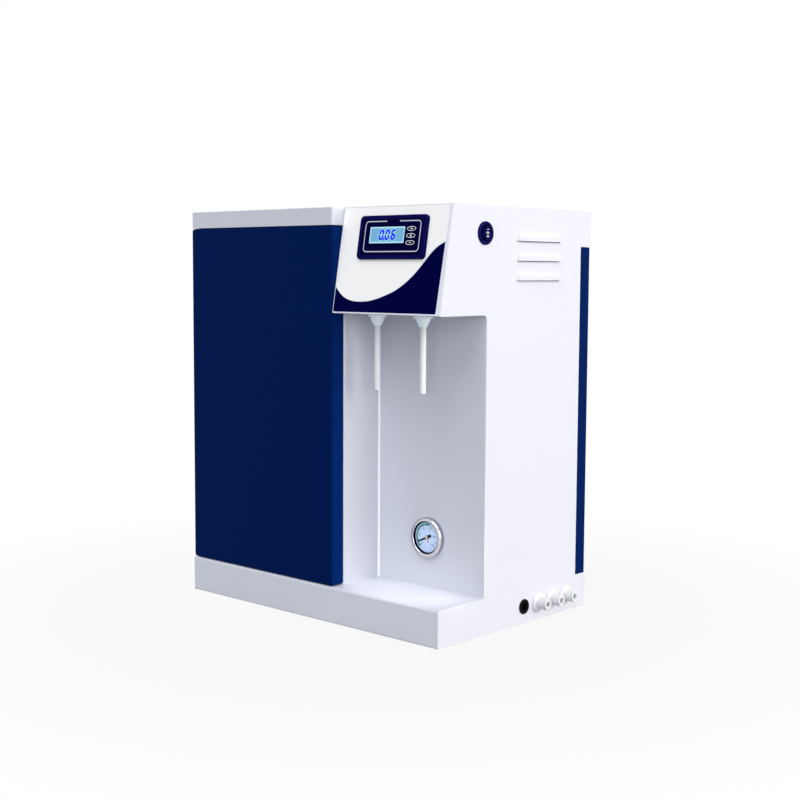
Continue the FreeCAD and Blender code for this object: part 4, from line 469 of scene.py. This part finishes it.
# The film's print: a white border, and a dark field under one long curve with a pale line along it.
fascia = {
    "film": (0.7, 0.7, 156.5, 117.48),
    "lowLeft": (1.2, 1.9),
    "lowRight": (150.6, 2.3),
    "highRight": (153.7, 117.0),
    "highLeft": (2.0, 117.0),
    "corner": 1.6,
    "filmTop": 0.4,
    "inkDepth": 0.04,
    "edgeWidth": 1.5,
    "curve": [(1.4, 30.6), (2.6, 29.2), (7.3, 24.9), (14.2, 19.9), (22.8, 16.3), (30.9, 14.8), (40.1, 14.3),
              (52.9, 15.2), (65.1, 17.9), (77.1, 21.8), (88.7, 26.4), (100.0, 32.9), (110.8, 41.3),
              (119.2, 49.5), (126.3, 57.7), (131.3, 63.6), (136.8, 69.2), (143.8, 74.6), (152.6, 79.2)],
}


def makeFasciaPrint():
    curve = smoothLine(fascia["curve"], 5)
    radius = fascia["corner"]
    leftX, leftY = fascia["lowLeft"]
    rightX, rightY = fascia["lowRight"]
    outline = arcPoints(leftX + radius, leftY + radius, radius, 180, 270, 6)
    outline += arcPoints(rightX - radius, rightY + radius, radius, 270, 360, 6)
    outline += list(reversed(curve))
    top = fascia["filmTop"]
    x0, y0, x1, y1 = fascia["film"]
    border = bmesh.new()
    highX, highY = fascia["highRight"]
    startX, startY = fascia["highLeft"]
    for plate in ([(x0, y0), (x1, y0), (rightX, rightY), (leftX, leftY)],
                  [(x1, y0), (x1, y1), (highX, highY), (rightX, rightY)],
                  [(x1, y1), (x0, y1), (startX, startY), (highX, highY)],
                  [(x0, y1), (x0, y0), (leftX, leftY), (startX, startY)]):
        addPlate(border, plate, top - fascia["inkDepth"], top + fascia["inkDepth"] / 2)
    keepPiece("fascia_border", border, slopeMatrix, borderInk, "cabinet")
    field = bmesh.new()
    addPlate(field, outline, top - fascia["inkDepth"], top + fascia["inkDepth"])
    keepPiece("fascia_field", field, slopeMatrix, navyInk, "cabinet")
    edge = bmesh.new()
    addStrip(edge, curve, fascia["edgeWidth"], top - fascia["inkDepth"], top + 2 * fascia["inkDepth"])
    keepPiece("fascia_edge", edge, slopeMatrix, whiteInk, "cabinet")


makeFasciaPrint()

# The controller's printed line, and on each key an oval line with its sign.
controller = {
    "face": 3.4,
    "frame": (39.1, 67.8, 118.7, 100.6),
    "frameCorner": 4,
    "frameWidth": 1.15,
    "frameGap": (69.7, 88.4),
    "keyColumn": 106.6,
    "keyRows": {"lower": 77.0, "middle": 84.5, "upper": 92.0},
    "rimSize": (12.7, 4.85),
    "rimWidth": 0.55,
    "keyTop": 4.0,
    "inkDepth": 0.04,
}


def makeControllerPrint():
    x0, y0, x1, y1 = controller["frame"]
    radius = controller["frameCorner"]
    gapStart, gapEnd = controller["frameGap"]
    line = [(gapEnd, y1)]
    line += list(reversed(arcPoints(x1 - radius, y1 - radius, radius, 0, 90, 6)))
    line += list(reversed(arcPoints(x1 - radius, y0 + radius, radius, -90, 0, 6)))
    line += list(reversed(arcPoints(x0 + radius, y0 + radius, radius, 180, 270, 6)))
    line += list(reversed(arcPoints(x0 + radius, y1 - radius, radius, 90, 180, 6)))
    line.append((gapStart, y1))
    low = controller["face"] - controller["inkDepth"]
    high = controller["face"] + controller["inkDepth"]
    frameLine = bmesh.new()
    addStrip(frameLine, line, controller["frameWidth"], low, high)
    keepPiece("controller_line", frameLine, slopeMatrix, silverInk, "cabinet")


def makeKeySigns():
    x = controller["keyColumn"]
    low = controller["keyTop"] - controller["inkDepth"]
    high = controller["keyTop"] + controller["inkDepth"]
    rows = controller["keyRows"]
    signs = {
        "upper": [[(-2.1, 0), (0.1, -0.9), (0.1, 0.9)], [(0.1, -0.4), (1.8, -0.4), (1.8, 0.4), (0.1, 0.4)]],
        "middle": [[(0, -1.4), (1.5, 0.1), (-1.5, 0.1)], [(-0.5, 0.1), (0.5, 0.1), (0.5, 1.4), (-0.5, 1.4)]],
        "lower": [[(-1.9, -0.3), (1.9, -0.3), (1.9, 0.3), (-1.9, 0.3)]],
    }
    width, height = controller["rimSize"]
    thin = controller["rimWidth"] / 2
    for row, plates in signs.items():
        sign = bmesh.new()
        oval = [(x + px * (width / 2 - thin), rows[row] + py * (height / 2 - thin))
                for px, py in arcPoints(0, 0, 1, 0, 350, 35)]
        addStrip(sign, oval, controller["rimWidth"], low, high, closed=True)
        for plate in plates:
            addPlate(sign, [(x + across, rows[row] + up) for across, up in plate], low, high)
        keepPiece(f"key_sign_{row}", sign, slopeMatrix, whiteInk, f"{row}_key")


makeControllerPrint()
makeKeySigns()

# The backlit display: an even blue field, brighter along its edges, and slanted seven-bar digits.
display = {
    "middle": (71.4, 85.8),
    "half": (25.2, 8.8),
    "top": 3.1,
    "dark": "#101820",
    "field": "#78b4da",
    "rim": "#b8f0ff",
    "rimWidth": 1.3,
    "rimBlur": (-0.5, 0.3),
    "level": 0.92,
    "digitStart": 60.5,
    "digitLow": 81.4,
    "digitWidth": 4.5,
    "digitHeight": 9.2,
    "digitPitch": 8.6,
    "slant": 0.13,
    "barWidth": 2.4,
    "barGap": 0.25,
    "barTip": 0.6,
    "digits": "006",
    "pointAfter": 0,
    "pointGap": 1.8,
    "pointRadius": 1.2,
    "ink": "#0402d2",
    "inkLight": "#0402e0",
    "inkLevel": 0.75,
    "inkHeights": (0.03, 0.06),
    "glow": "#a2e6d6",
    "glowWidth": 4.2,
    "glowHeights": (-0.02, 0.02),
}


def makeDisplay():
    material = newMaterial("backlitDisplay", display["dark"], 0.25, Specular_IOR_Level=0.1,
                           Emission_Strength=display["level"])
    tree = material.node_tree
    place = addNode(tree, "ShaderNodeTexCoord")
    middle = slopeMatrix @ Vector((display["middle"][0] * mm, display["middle"][1] * mm, 0))
    upSlope = (0, math.sin(tilt), math.cos(tilt))
    fromMiddle = addNode(tree, "ShaderNodeVectorMath", {0: place.outputs["Object"], 1: middle},
                         operation="SUBTRACT")
    edges = []
    for direction, half in zip(((1, 0, 0), upSlope), display["half"]):
        along = addNode(tree, "ShaderNodeVectorMath", {0: fromMiddle.outputs[0], 1: direction},
                        operation="DOT_PRODUCT")
        size = addNode(tree, "ShaderNodeMath", {0: along.outputs["Value"]}, operation="ABSOLUTE")
        inner = (half - display["rimWidth"]) * mm
        edges.append(addNode(tree, "ShaderNodeMath", {0: size.outputs[0], 1: inner}, operation="SUBTRACT"))
    nearest = addNode(tree, "ShaderNodeMath", {0: edges[0].outputs[0], 1: edges[1].outputs[0]},
                      operation="MAXIMUM")
    rim = addNode(tree, "ShaderNodeMapRange", {
        "Value": nearest.outputs[0],
        "From Min": display["rimBlur"][0] * mm,
        "From Max": display["rimBlur"][1] * mm,
    }, interpolation_type="SMOOTHSTEP")
    colour = addNode(tree, "ShaderNodeMix", {"Factor": rim.outputs["Result"]}, data_type="RGBA")
    colour.inputs[6].default_value = toLinear(display["field"])
    colour.inputs[7].default_value = toLinear(display["rim"])
    tree.links.new(colour.outputs[2], tree.nodes["Principled BSDF"].inputs["Emission Color"])
    finishCad("display_lcd", material)


# Bars of the seven-bar digits in unit places: start and end of each.
barPlaces = {
    "top": ((0, 1), (1, 1)),
    "middle": ((0, 0.5), (1, 0.5)),
    "bottom": ((0, 0), (1, 0)),
    "upperLeft": ((0, 0.5), (0, 1)),
    "upperRight": ((1, 0.5), (1, 1)),
    "lowerLeft": ((0, 0), (0, 0.5)),
    "lowerRight": ((1, 0), (1, 0.5)),
}
digitBars = {
    "0": ["top", "bottom", "upperLeft", "upperRight", "lowerLeft", "lowerRight"],
    "6": ["top", "middle", "bottom", "upperLeft", "lowerLeft", "lowerRight"],
}


def makeDigits():
    ink = newMaterial("litDigitBlue", display["ink"], 0.4, Specular_IOR_Level=0.1,
                      Emission_Color=toLinear(display["inkLight"]), Emission_Strength=display["inkLevel"])
    addGrain(ink, 0.4, 0.001, 0.02)
    glow = newMaterial("digitGlow", display["dark"], 0.4, Specular_IOR_Level=0.1,
                       Emission_Color=toLinear(display["glow"]), Emission_Strength=display["level"])
    addGrain(glow, 0.4, 0.001, 0.02)
    bars = bmesh.new()
    halo = bmesh.new()
    inkLow, inkHigh = (display["top"] + height for height in display["inkHeights"])
    glowLow, glowHigh = (display["top"] + height for height in display["glowHeights"])
    half = display["barWidth"] / 2
    tip = half * display["barTip"]
    low = display["digitLow"]

    def slanted(x, y):
        return (x + (y - low) * display["slant"], y)

    for number, digit in enumerate(display["digits"]):
        x0 = display["digitStart"] + number * display["digitPitch"]
        for bar in digitBars[digit]:
            ends = [Vector((x0 + x * display["digitWidth"], low + y * display["digitHeight"]))
                    for x, y in barPlaces[bar]]
            along = (ends[1] - ends[0]).normalized()
            side = Vector((-along.y, along.x)) * half
            first = ends[0] + along * (tip + display["barGap"] / 2)
            last = ends[1] - along * (tip + display["barGap"] / 2)
            outline = [first - along * tip, first - side, last - side, last + along * tip, last + side,
                       first + side]
            addPlate(bars, [slanted(point.x, point.y) for point in outline], inkLow, inkHigh)
            addStrip(halo, [slanted(*end) for end in ends], display["glowWidth"], glowLow, glowHigh)
        if number == display["pointAfter"]:
            x, y = slanted(x0 + display["digitWidth"] + display["pointGap"], low)
            addPlate(bars, arcPoints(x, y, display["pointRadius"], 0, 330, 11), inkLow, inkHigh)
    keepPiece("display_digits", bars, slopeMatrix, ink, "cabinet")
    keepPiece("display_glow", halo, slopeMatrix, glow, "cabinet")


makeDisplay()
makeDigits()
print("controller and fascia printed")

# The rocker's three marks, each laid on the dished face: one bar, a ring, two bars.
rocker = {
    "place": (192.75, -62, 442.7),
    "dishLow": 3.7,
    "dishRadius": 36,
    "markRise": 3.65,
    "markLift": 0.3,
    "barLength": 3.6,
    "barWidth": 0.5,
    "barPitch": 0.95,
    "barRound": 0.9,
    "ringSize": (4.3, 2.3),
    "ringWidth": 0.5,
    "inkDepth": 0.05,
}
sideMatrix = Matrix((
    (0, 0, 1, rocker["place"][0] * mm),
    (1, 0, 0, rocker["place"][1] * mm),
    (0, 1, 0, rocker["place"][2] * mm),
    (0, 0, 0, 1),
))


def makeRockerMarks():
    half = rocker["barLength"] / 2
    thick = rocker["barWidth"] / 2
    depth = rocker["inkDepth"]
    lift = rocker["markLift"]
    ringWide, ringHigh = rocker["ringSize"]
    marks = {
        "upper": (lift + rocker["markRise"], [0]),
        "middle": (lift, None),
        "lower": (lift - rocker["markRise"], [-rocker["barPitch"] / 2, rocker["barPitch"] / 2]),
    }
    for name, (rise, bars) in marks.items():
        mark = bmesh.new()
        if bars is None:
            ring = [(px * (ringWide - rocker["ringWidth"]) / 2, py * (ringHigh - rocker["ringWidth"]) / 2)
                    for px, py in arcPoints(0, 0, 1, 0, 345, 23)]
            addStrip(mark, ring, rocker["ringWidth"], -depth, depth, closed=True)
        else:
            for offset in bars:
                radius = thick * rocker["barRound"]
                addPlate(mark, roundedOutline(-half, offset - thick, half, offset + thick, radius, 3),
                         -depth, depth)
        lean = -math.asin(rise / rocker["dishRadius"])
        height = rocker["dishLow"] + rocker["dishRadius"] * (1 - math.cos(lean))
        onFace = Matrix.Translation((0, rise * mm, height * mm)) @ Matrix.Rotation(-lean, 4, "X")
        keepPiece(f"rocker_mark_{name}", mark, sideMatrix @ onFace, whiteInk, "rocker")


makeRockerMarks()

# The gauge: scale printed on the dial, a dark seal and spacer round it that also stand as painted shade
# inside the bezel's rim, a cap on the needle.
gauge = {
    "place": (112.95, -57.5, 104.6),
    "dial": 3.2,
    "inkDepth": 0.03,
    "zero": 225,
    "sweep": 270,
    "divisions": 50,
    "tickOuter": 14.2,
    "longEvery": 5,
    "tickShort": (0.9, 0.35),
    "tickLong": (1.8, 0.7),
    "numberRadius": 10.6,
    "numberSize": 4.1,
    "numbers": ["0", "2", "4", "6", "8", "10"],
    "arcRadius": 15.0,
    "arcWidth": 1.8,
    "arcEnd": 74,
    "dot": (1.7, -4.6),
    "dotRadius": 1.25,
    "opening": 18.3,
    "lensFront": 5.2,
    "sealTop": 6.0,
    "sealWidth": 0.45,
    "sealSlant": 0.3,
    "spacerWidth": 1.25,
    "spacerTuck": 0.6,
    "spacerGap": 1,
    "needleTop": 3.8,
    "capSides": 32,
    "capRim": (1.35, -0.05, 0.2),
    "capCrown": (0.945, 0.3),
    "capMiddle": (0.02, 0.33),
}
gaugeMatrix = Matrix((
    (1, 0, 0, gauge["place"][0] * mm),
    (0, 0, -1, gauge["place"][1] * mm),
    (0, 1, 0, gauge["place"][2] * mm),
    (0, 0, 0, 1),
))


# A turned shape from (radius, height) corners in mm, closed round its axis.
def addTurned(shape, corners, steps=64):
    rings = []
    for step in range(steps):
        angle = 2 * math.pi * step / steps
        rings.append([shape.verts.new((r * math.cos(angle) * mm, r * math.sin(angle) * mm, z * mm))
                      for r, z in corners])
    count = len(corners)
    for step in range(steps):
        here = rings[step]
        after = rings[(step + 1) % steps]
        for index in range(count):
            following = (index + 1) % count
            shape.faces.new((here[index], after[index], after[following], here[following]))


def makeGaugeScale():
    low = gauge["dial"] - gauge["inkDepth"]
    high = gauge["dial"] + gauge["inkDepth"]
    ticks = bmesh.new()
    for number in range(gauge["divisions"] + 1):
        angle = math.radians(gauge["zero"] - gauge["sweep"] * number / gauge["divisions"])
        outward = Vector((math.cos(angle), math.sin(angle)))
        length, width = gauge["tickShort"] if number % gauge["longEvery"] else gauge["tickLong"]
        ends = [tuple(outward * radius) for radius in (gauge["tickOuter"] - length, gauge["tickOuter"])]
        addStrip(ticks, ends, width, low, high)
    keepPiece("gauge_ticks", ticks, gaugeMatrix, blueInk, "cabinet")
    band = bmesh.new()
    arc = arcPoints(0, 0, gauge["arcRadius"], gauge["zero"], gauge["arcEnd"], 40)
    addStrip(band, arc, gauge["arcWidth"], low, high)
    keepPiece("gauge_green_band", band, gaugeMatrix, greenInk, "cabinet")
    dot = bmesh.new()
    addPlate(dot, arcPoints(*gauge["dot"], gauge["dotRadius"], 0, 345, 23), low, high)
    keepPiece("gauge_dot", dot, gaugeMatrix, orangeInk, "cabinet")
    count = len(gauge["numbers"]) - 1
    for index, text in enumerate(gauge["numbers"]):
        letters = bpy.data.curves.new(f"gauge_number_{text}", "FONT")
        letters.body = text
        letters.size = gauge["numberSize"] * mm
        letters.align_x = "CENTER"
        letters.align_y = "CENTER"
        letters.extrude = gauge["inkDepth"] * mm
        letters.materials.append(blueInk)
        number = bpy.data.objects.new(f"gauge_number_{text}", letters)
        bpy.context.scene.collection.objects.link(number)
        angle = math.radians(gauge["zero"] - gauge["sweep"] * index / count)
        radius = gauge["numberRadius"] * mm
        spot = Matrix.Translation((radius * math.cos(angle), radius * math.sin(angle), gauge["dial"] * mm))
        number.matrix_world = gaugeMatrix @ spot
        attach(number, "cabinet")


def makeGaugeTrim():
    seal = bmesh.new()
    outer = gauge["opening"]
    inner = outer - gauge["sealWidth"]
    addTurned(seal, [(inner, gauge["lensFront"]), (outer, gauge["lensFront"]), (outer, gauge["sealTop"]),
                     (inner, gauge["sealTop"] - gauge["sealSlant"])])
    keepPiece("gauge_seal", seal, gaugeMatrix, sealRubberShade, "cabinet")
    spacer = bmesh.new()
    under = gauge["lensFront"] - gauge["spacerGap"]
    inner = outer - gauge["spacerWidth"]
    outer += gauge["spacerTuck"]
    addTurned(spacer, [(inner, gauge["dial"]), (outer, gauge["dial"]), (outer, under), (inner, under)])
    keepPiece("gauge_spacer", spacer, gaugeMatrix, sealRubberShade, "cabinet")
    cap = bmesh.new()
    top = gauge["needleTop"]
    rim, foot, edge = gauge["capRim"]
    crown, crownRise = gauge["capCrown"]
    middle, middleRise = gauge["capMiddle"]
    addTurned(cap, [(middle, top + foot), (rim, top + foot), (rim, top + edge), (crown, top + crownRise),
                    (middle, top + middleRise)], gauge["capSides"])
    keepPiece("needle_cap", cap, gaugeMatrix, ivoryCap, "needle")


makeGaugeScale()
makeGaugeTrim()
print("rocker and gauge marked")

# A white strip up the bay's rear left corner, from the shelf to the head: a painted highlight along the
# corner.
cornerHighlightStrip = {
    "size": 1.6,
    "bulge": 0.25,
    "steps": 6,
    "endGap": 0.05,
}


def makeCornerHighlight():
    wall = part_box("bay_back_wall")
    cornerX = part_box("bay_left_wall")[1].x / mm
    cornerY = wall[0].y / mm
    size = cornerHighlightStrip["size"]
    outline = [(0, 0)]
    for step in range(cornerHighlightStrip["steps"] + 1):
        share = step / cornerHighlightStrip["steps"]
        out = cornerHighlightStrip["bulge"] * math.sin(math.pi * share)
        outline.append((size * share + out, -size * (1 - share) - out))
    shape = bmesh.new()
    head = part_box("head_plate")[0].z / mm
    addPlate(shape, outline, wall[0].z / mm + cornerHighlightStrip["endGap"], head - cornerHighlightStrip["endGap"])
    place = Matrix.Translation((cornerX * mm, cornerY * mm, 0))
    keepPiece("bay_corner_highlight", shape, place, cornerHighlightWhite, "cabinet")


makeCornerHighlight()
print("bay corner highlit")

# Low pan-head screws that hold the rear cover to its posts, with a crossed slot.
screw = {
    "radius": 3.1,
    "crown": 0.72,
    "height": 1.2,
    "skirt": 0.35,
    "sides": 24,
    "slotReach": 1.9,
    "slotWidth": 0.9,
    "slotDepth": 0.7,
    "inset": 9,
    "rows": (0.05, 0.35, 0.65, 0.95),
}


def addScrew(shape, x, y):
    reach = screw["slotReach"]
    half = screw["slotWidth"] / 2
    high = screw["height"]
    floor = high - screw["slotDepth"]
    cross = [(reach, -half), (reach, half), (half, half), (half, reach), (-half, reach), (-half, half),
             (-reach, half), (-reach, -half), (-half, -half), (-half, -reach), (half, -reach), (half, -half)]
    angles = [2 * math.pi * step / screw["sides"] for step in range(screw["sides"])]
    rim = [(screw["radius"] * math.cos(angle), screw["radius"] * math.sin(angle)) for angle in angles]

    def vertsAt(points, height):
        return [shape.verts.new(((x + px) * mm, (y + py) * mm, height * mm)) for px, py in points]

    slotTop = vertsAt(cross, high)
    slotFloor = vertsAt(cross, floor)
    crown = vertsAt([(px * screw["crown"], py * screw["crown"]) for px, py in rim], high)
    skirt = vertsAt(rim, high * screw["skirt"])
    foot = vertsAt(rim, 0)
    edges = []
    for loop in (slotTop, crown):
        for index, vert in enumerate(loop):
            edges.append(shape.edges.new((vert, loop[(index + 1) % len(loop)])))
    bmesh.ops.triangle_fill(shape, edges=edges, use_beauty=True)
    for first, second in ((slotTop, slotFloor), (crown, skirt), (skirt, foot)):
        count = len(first)
        for index in range(count):
            after = (index + 1) % count
            shape.faces.new((first[index], second[index], second[after], first[after]))
    shape.faces.new(slotFloor)
    shape.faces.new(list(reversed(foot)))


def makeRearScrews():
    low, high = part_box("rear_cover")
    backMatrix = Matrix(((-1, 0, 0, 0), (0, 0, 1, high.y), (0, 1, 0, 0), (0, 0, 0, 1)))
    screws = bmesh.new()
    for x in (low.x / mm + screw["inset"], high.x / mm - screw["inset"]):
        for share in screw["rows"]:
            addScrew(screws, -x, (low.z + (high.z - low.z) * share) / mm)
    keepPiece("rear_screws", screws, backMatrix, zincPlate, "cabinet")


makeRearScrews()
print("rear screws set")

# A pale floor that keeps a faint shadow near the object and runs out to pure white.
stage = {
    "size": 12,
    "floor": "#909193",
    "shadowShare": 0.07,
    "shadowFade": (0.3, 0.75),
    "ambient": "#edf2fb",
    "ambientLevel": 0.29,
    "lampReach": 3,
}


# Camera, glossy and transmission rays see plain white, whatever lights the object.
def seesWhite(tree):
    path = addNode(tree, "ShaderNodeLightPath")
    seen = path.outputs["Is Camera Ray"]
    for ray in ("Is Glossy Ray", "Is Transmission Ray"):
        either = addNode(tree, "ShaderNodeMath", {0: seen, 1: path.outputs[ray]}, operation="MAXIMUM")
        seen = either.outputs[0]
    return seen


def makeFloor():
    shape = bmesh.new()
    half = stage["size"] / 2
    places = ((-half, -half), (half, -half), (half, half), (-half, half))
    shape.faces.new([shape.verts.new((x, y, 0)) for x, y in places])
    mesh = bpy.data.meshes.new("studio_floor")
    shape.to_mesh(mesh)
    shape.free()
    floor = bpy.data.objects.new("studio_floor", mesh)
    bpy.context.scene.collection.objects.link(floor)
    material = bpy.data.materials.new("paleFloor")
    material.use_nodes = True
    tree = material.node_tree
    tree.nodes.clear()
    place = addNode(tree, "ShaderNodeTexCoord")
    distance = addNode(tree, "ShaderNodeVectorMath", {0: place.outputs["Object"]}, operation="LENGTH")
    fade = addNode(tree, "ShaderNodeMapRange", {
        "Value": distance.outputs["Value"],
        "From Min": stage["shadowFade"][0],
        "From Max": stage["shadowFade"][1],
        "To Min": 1 - stage["shadowShare"],
        "To Max": 1.0,
    }, interpolation_type="SMOOTHSTEP")
    share = addNode(tree, "ShaderNodeMath", {0: fade.outputs["Result"], 1: seesWhite(tree)},
                    operation="MULTIPLY")
    matt = addNode(tree, "ShaderNodeBsdfDiffuse", {"Color": toLinear(stage["floor"])})
    white = addNode(tree, "ShaderNodeEmission", {"Color": (1, 1, 1, 1), "Strength": 1.0})
    mixed = addNode(tree, "ShaderNodeMixShader",
                    {"Fac": share.outputs[0], 1: matt.outputs[0], 2: white.outputs[0]})
    addNode(tree, "ShaderNodeOutputMaterial", {"Surface": mixed.outputs[0]})
    mesh.materials.append(material)


def makeWorld():
    world = bpy.data.worlds.new("softStudio")
    world.use_nodes = True
    bpy.context.scene.world = world
    tree = world.node_tree
    tree.nodes.clear()
    soft = addNode(tree, "ShaderNodeBackground",
                   {"Color": toLinear(stage["ambient"]), "Strength": stage["ambientLevel"]})
    white = addNode(tree, "ShaderNodeBackground", {"Color": (1, 1, 1, 1), "Strength": 1.0})
    mixed = addNode(tree, "ShaderNodeMixShader",
                    {"Fac": seesWhite(tree), 1: soft.outputs[0], 2: white.outputs[0]})
    addNode(tree, "ShaderNodeOutputWorld", {"Surface": mixed.outputs[0]})


lamps = {
    "key": {"towards": (0.88, 0.36, 0.30), "spread": 45, "strength": 2.83, "colour": "#fff9f4"},
    "top": {"towards": (0.15, -0.60, 0.78), "spread": 40, "strength": 1.34, "colour": "#f6f9ff"},
    "fill": {"towards": (0.72, -0.69, 0.10), "spread": 50, "strength": 1.65, "colour": "#f6f9ff"},
    "rear": {"towards": (-0.60, 0.72, 0.35), "spread": 50, "strength": 1.5, "colour": "#f6f9ff"},
}


# Broad far lamps, so that each flat side is lit evenly, as in a product studio.
def makeLamps():
    for name, lamp in lamps.items():
        light = bpy.data.lights.new(f"{name}_lamp", "SUN")
        light.angle = math.radians(lamp["spread"])
        light.energy = lamp["strength"]
        light.color = toLinear(lamp["colour"])[:3]
        thing = bpy.data.objects.new(f"{name}_lamp", light)
        bpy.context.scene.collection.objects.link(thing)
        towards = Vector(lamp["towards"])
        thing.location = towards * stage["lampReach"]
        thing.rotation_euler = towards.to_track_quat("Z", "Y").to_euler()


# A narrow lamp that shines through the bay's open side on to the shelf.
shelfLamp = {
    "aim": (0.135, -0.100, 0.06),
    "towards": (0.80, -0.04, 0.60),
    "reach": 1.8,
    "cone": 3.5,
    "blend": 0.8,
    "power": 72,
    "bulb": 0.01,
}


def makeShelfLamp():
    light = bpy.data.lights.new("shelf_lamp", "SPOT")
    light.energy = shelfLamp["power"]
    light.spot_size = math.radians(shelfLamp["cone"])
    light.spot_blend = shelfLamp["blend"]
    light.shadow_soft_size = shelfLamp["bulb"]
    thing = bpy.data.objects.new("shelf_lamp", light)
    bpy.context.scene.collection.objects.link(thing)
    towards = Vector(shelfLamp["towards"]).normalized()
    thing.location = Vector(shelfLamp["aim"]) + towards * shelfLamp["reach"]
    thing.rotation_euler = towards.to_track_quat("Z", "Y").to_euler()


# The photograph's own view, worked out from the cabinet's straight edges.
viewpoint = {
    "place": (1.1002, -1.1895, 0.4012),
    "azimuth": 42.365,
    "elevation": 5.401,
    "roll": 0.305,
    "focalPixels": 1353.84,
    "imagePixels": 800,
    "sensor": 36,
}


def makeCamera():
    turn = math.radians(viewpoint["azimuth"])
    rise = math.radians(viewpoint["elevation"])
    roll = math.radians(viewpoint["roll"])
    back = Vector((math.sin(turn) * math.cos(rise), -math.cos(turn) * math.cos(rise), math.sin(rise)))
    right = Vector((math.cos(turn), math.sin(turn), 0))
    up = back.cross(right)
    rolledRight = right * math.cos(roll) + up * math.sin(roll)
    rolledUp = up * math.cos(roll) - right * math.sin(roll)
    data = bpy.data.cameras.new("photo_view")
    data.sensor_width = viewpoint["sensor"]
    data.lens = viewpoint["focalPixels"] / viewpoint["imagePixels"] * viewpoint["sensor"]
    camera = bpy.data.objects.new("photo_view", data)
    bpy.context.scene.collection.objects.link(camera)
    turned = Matrix((rolledRight, rolledUp, back)).transposed().to_4x4()
    camera.matrix_world = Matrix.Translation(viewpoint["place"]) @ turned
    bpy.context.scene.camera = camera


makeFloor()
makeWorld()
makeLamps()
makeShelfLamp()
makeCamera()
bpy.context.scene.view_settings.view_transform = "Standard"
print("stage, light and camera ready")
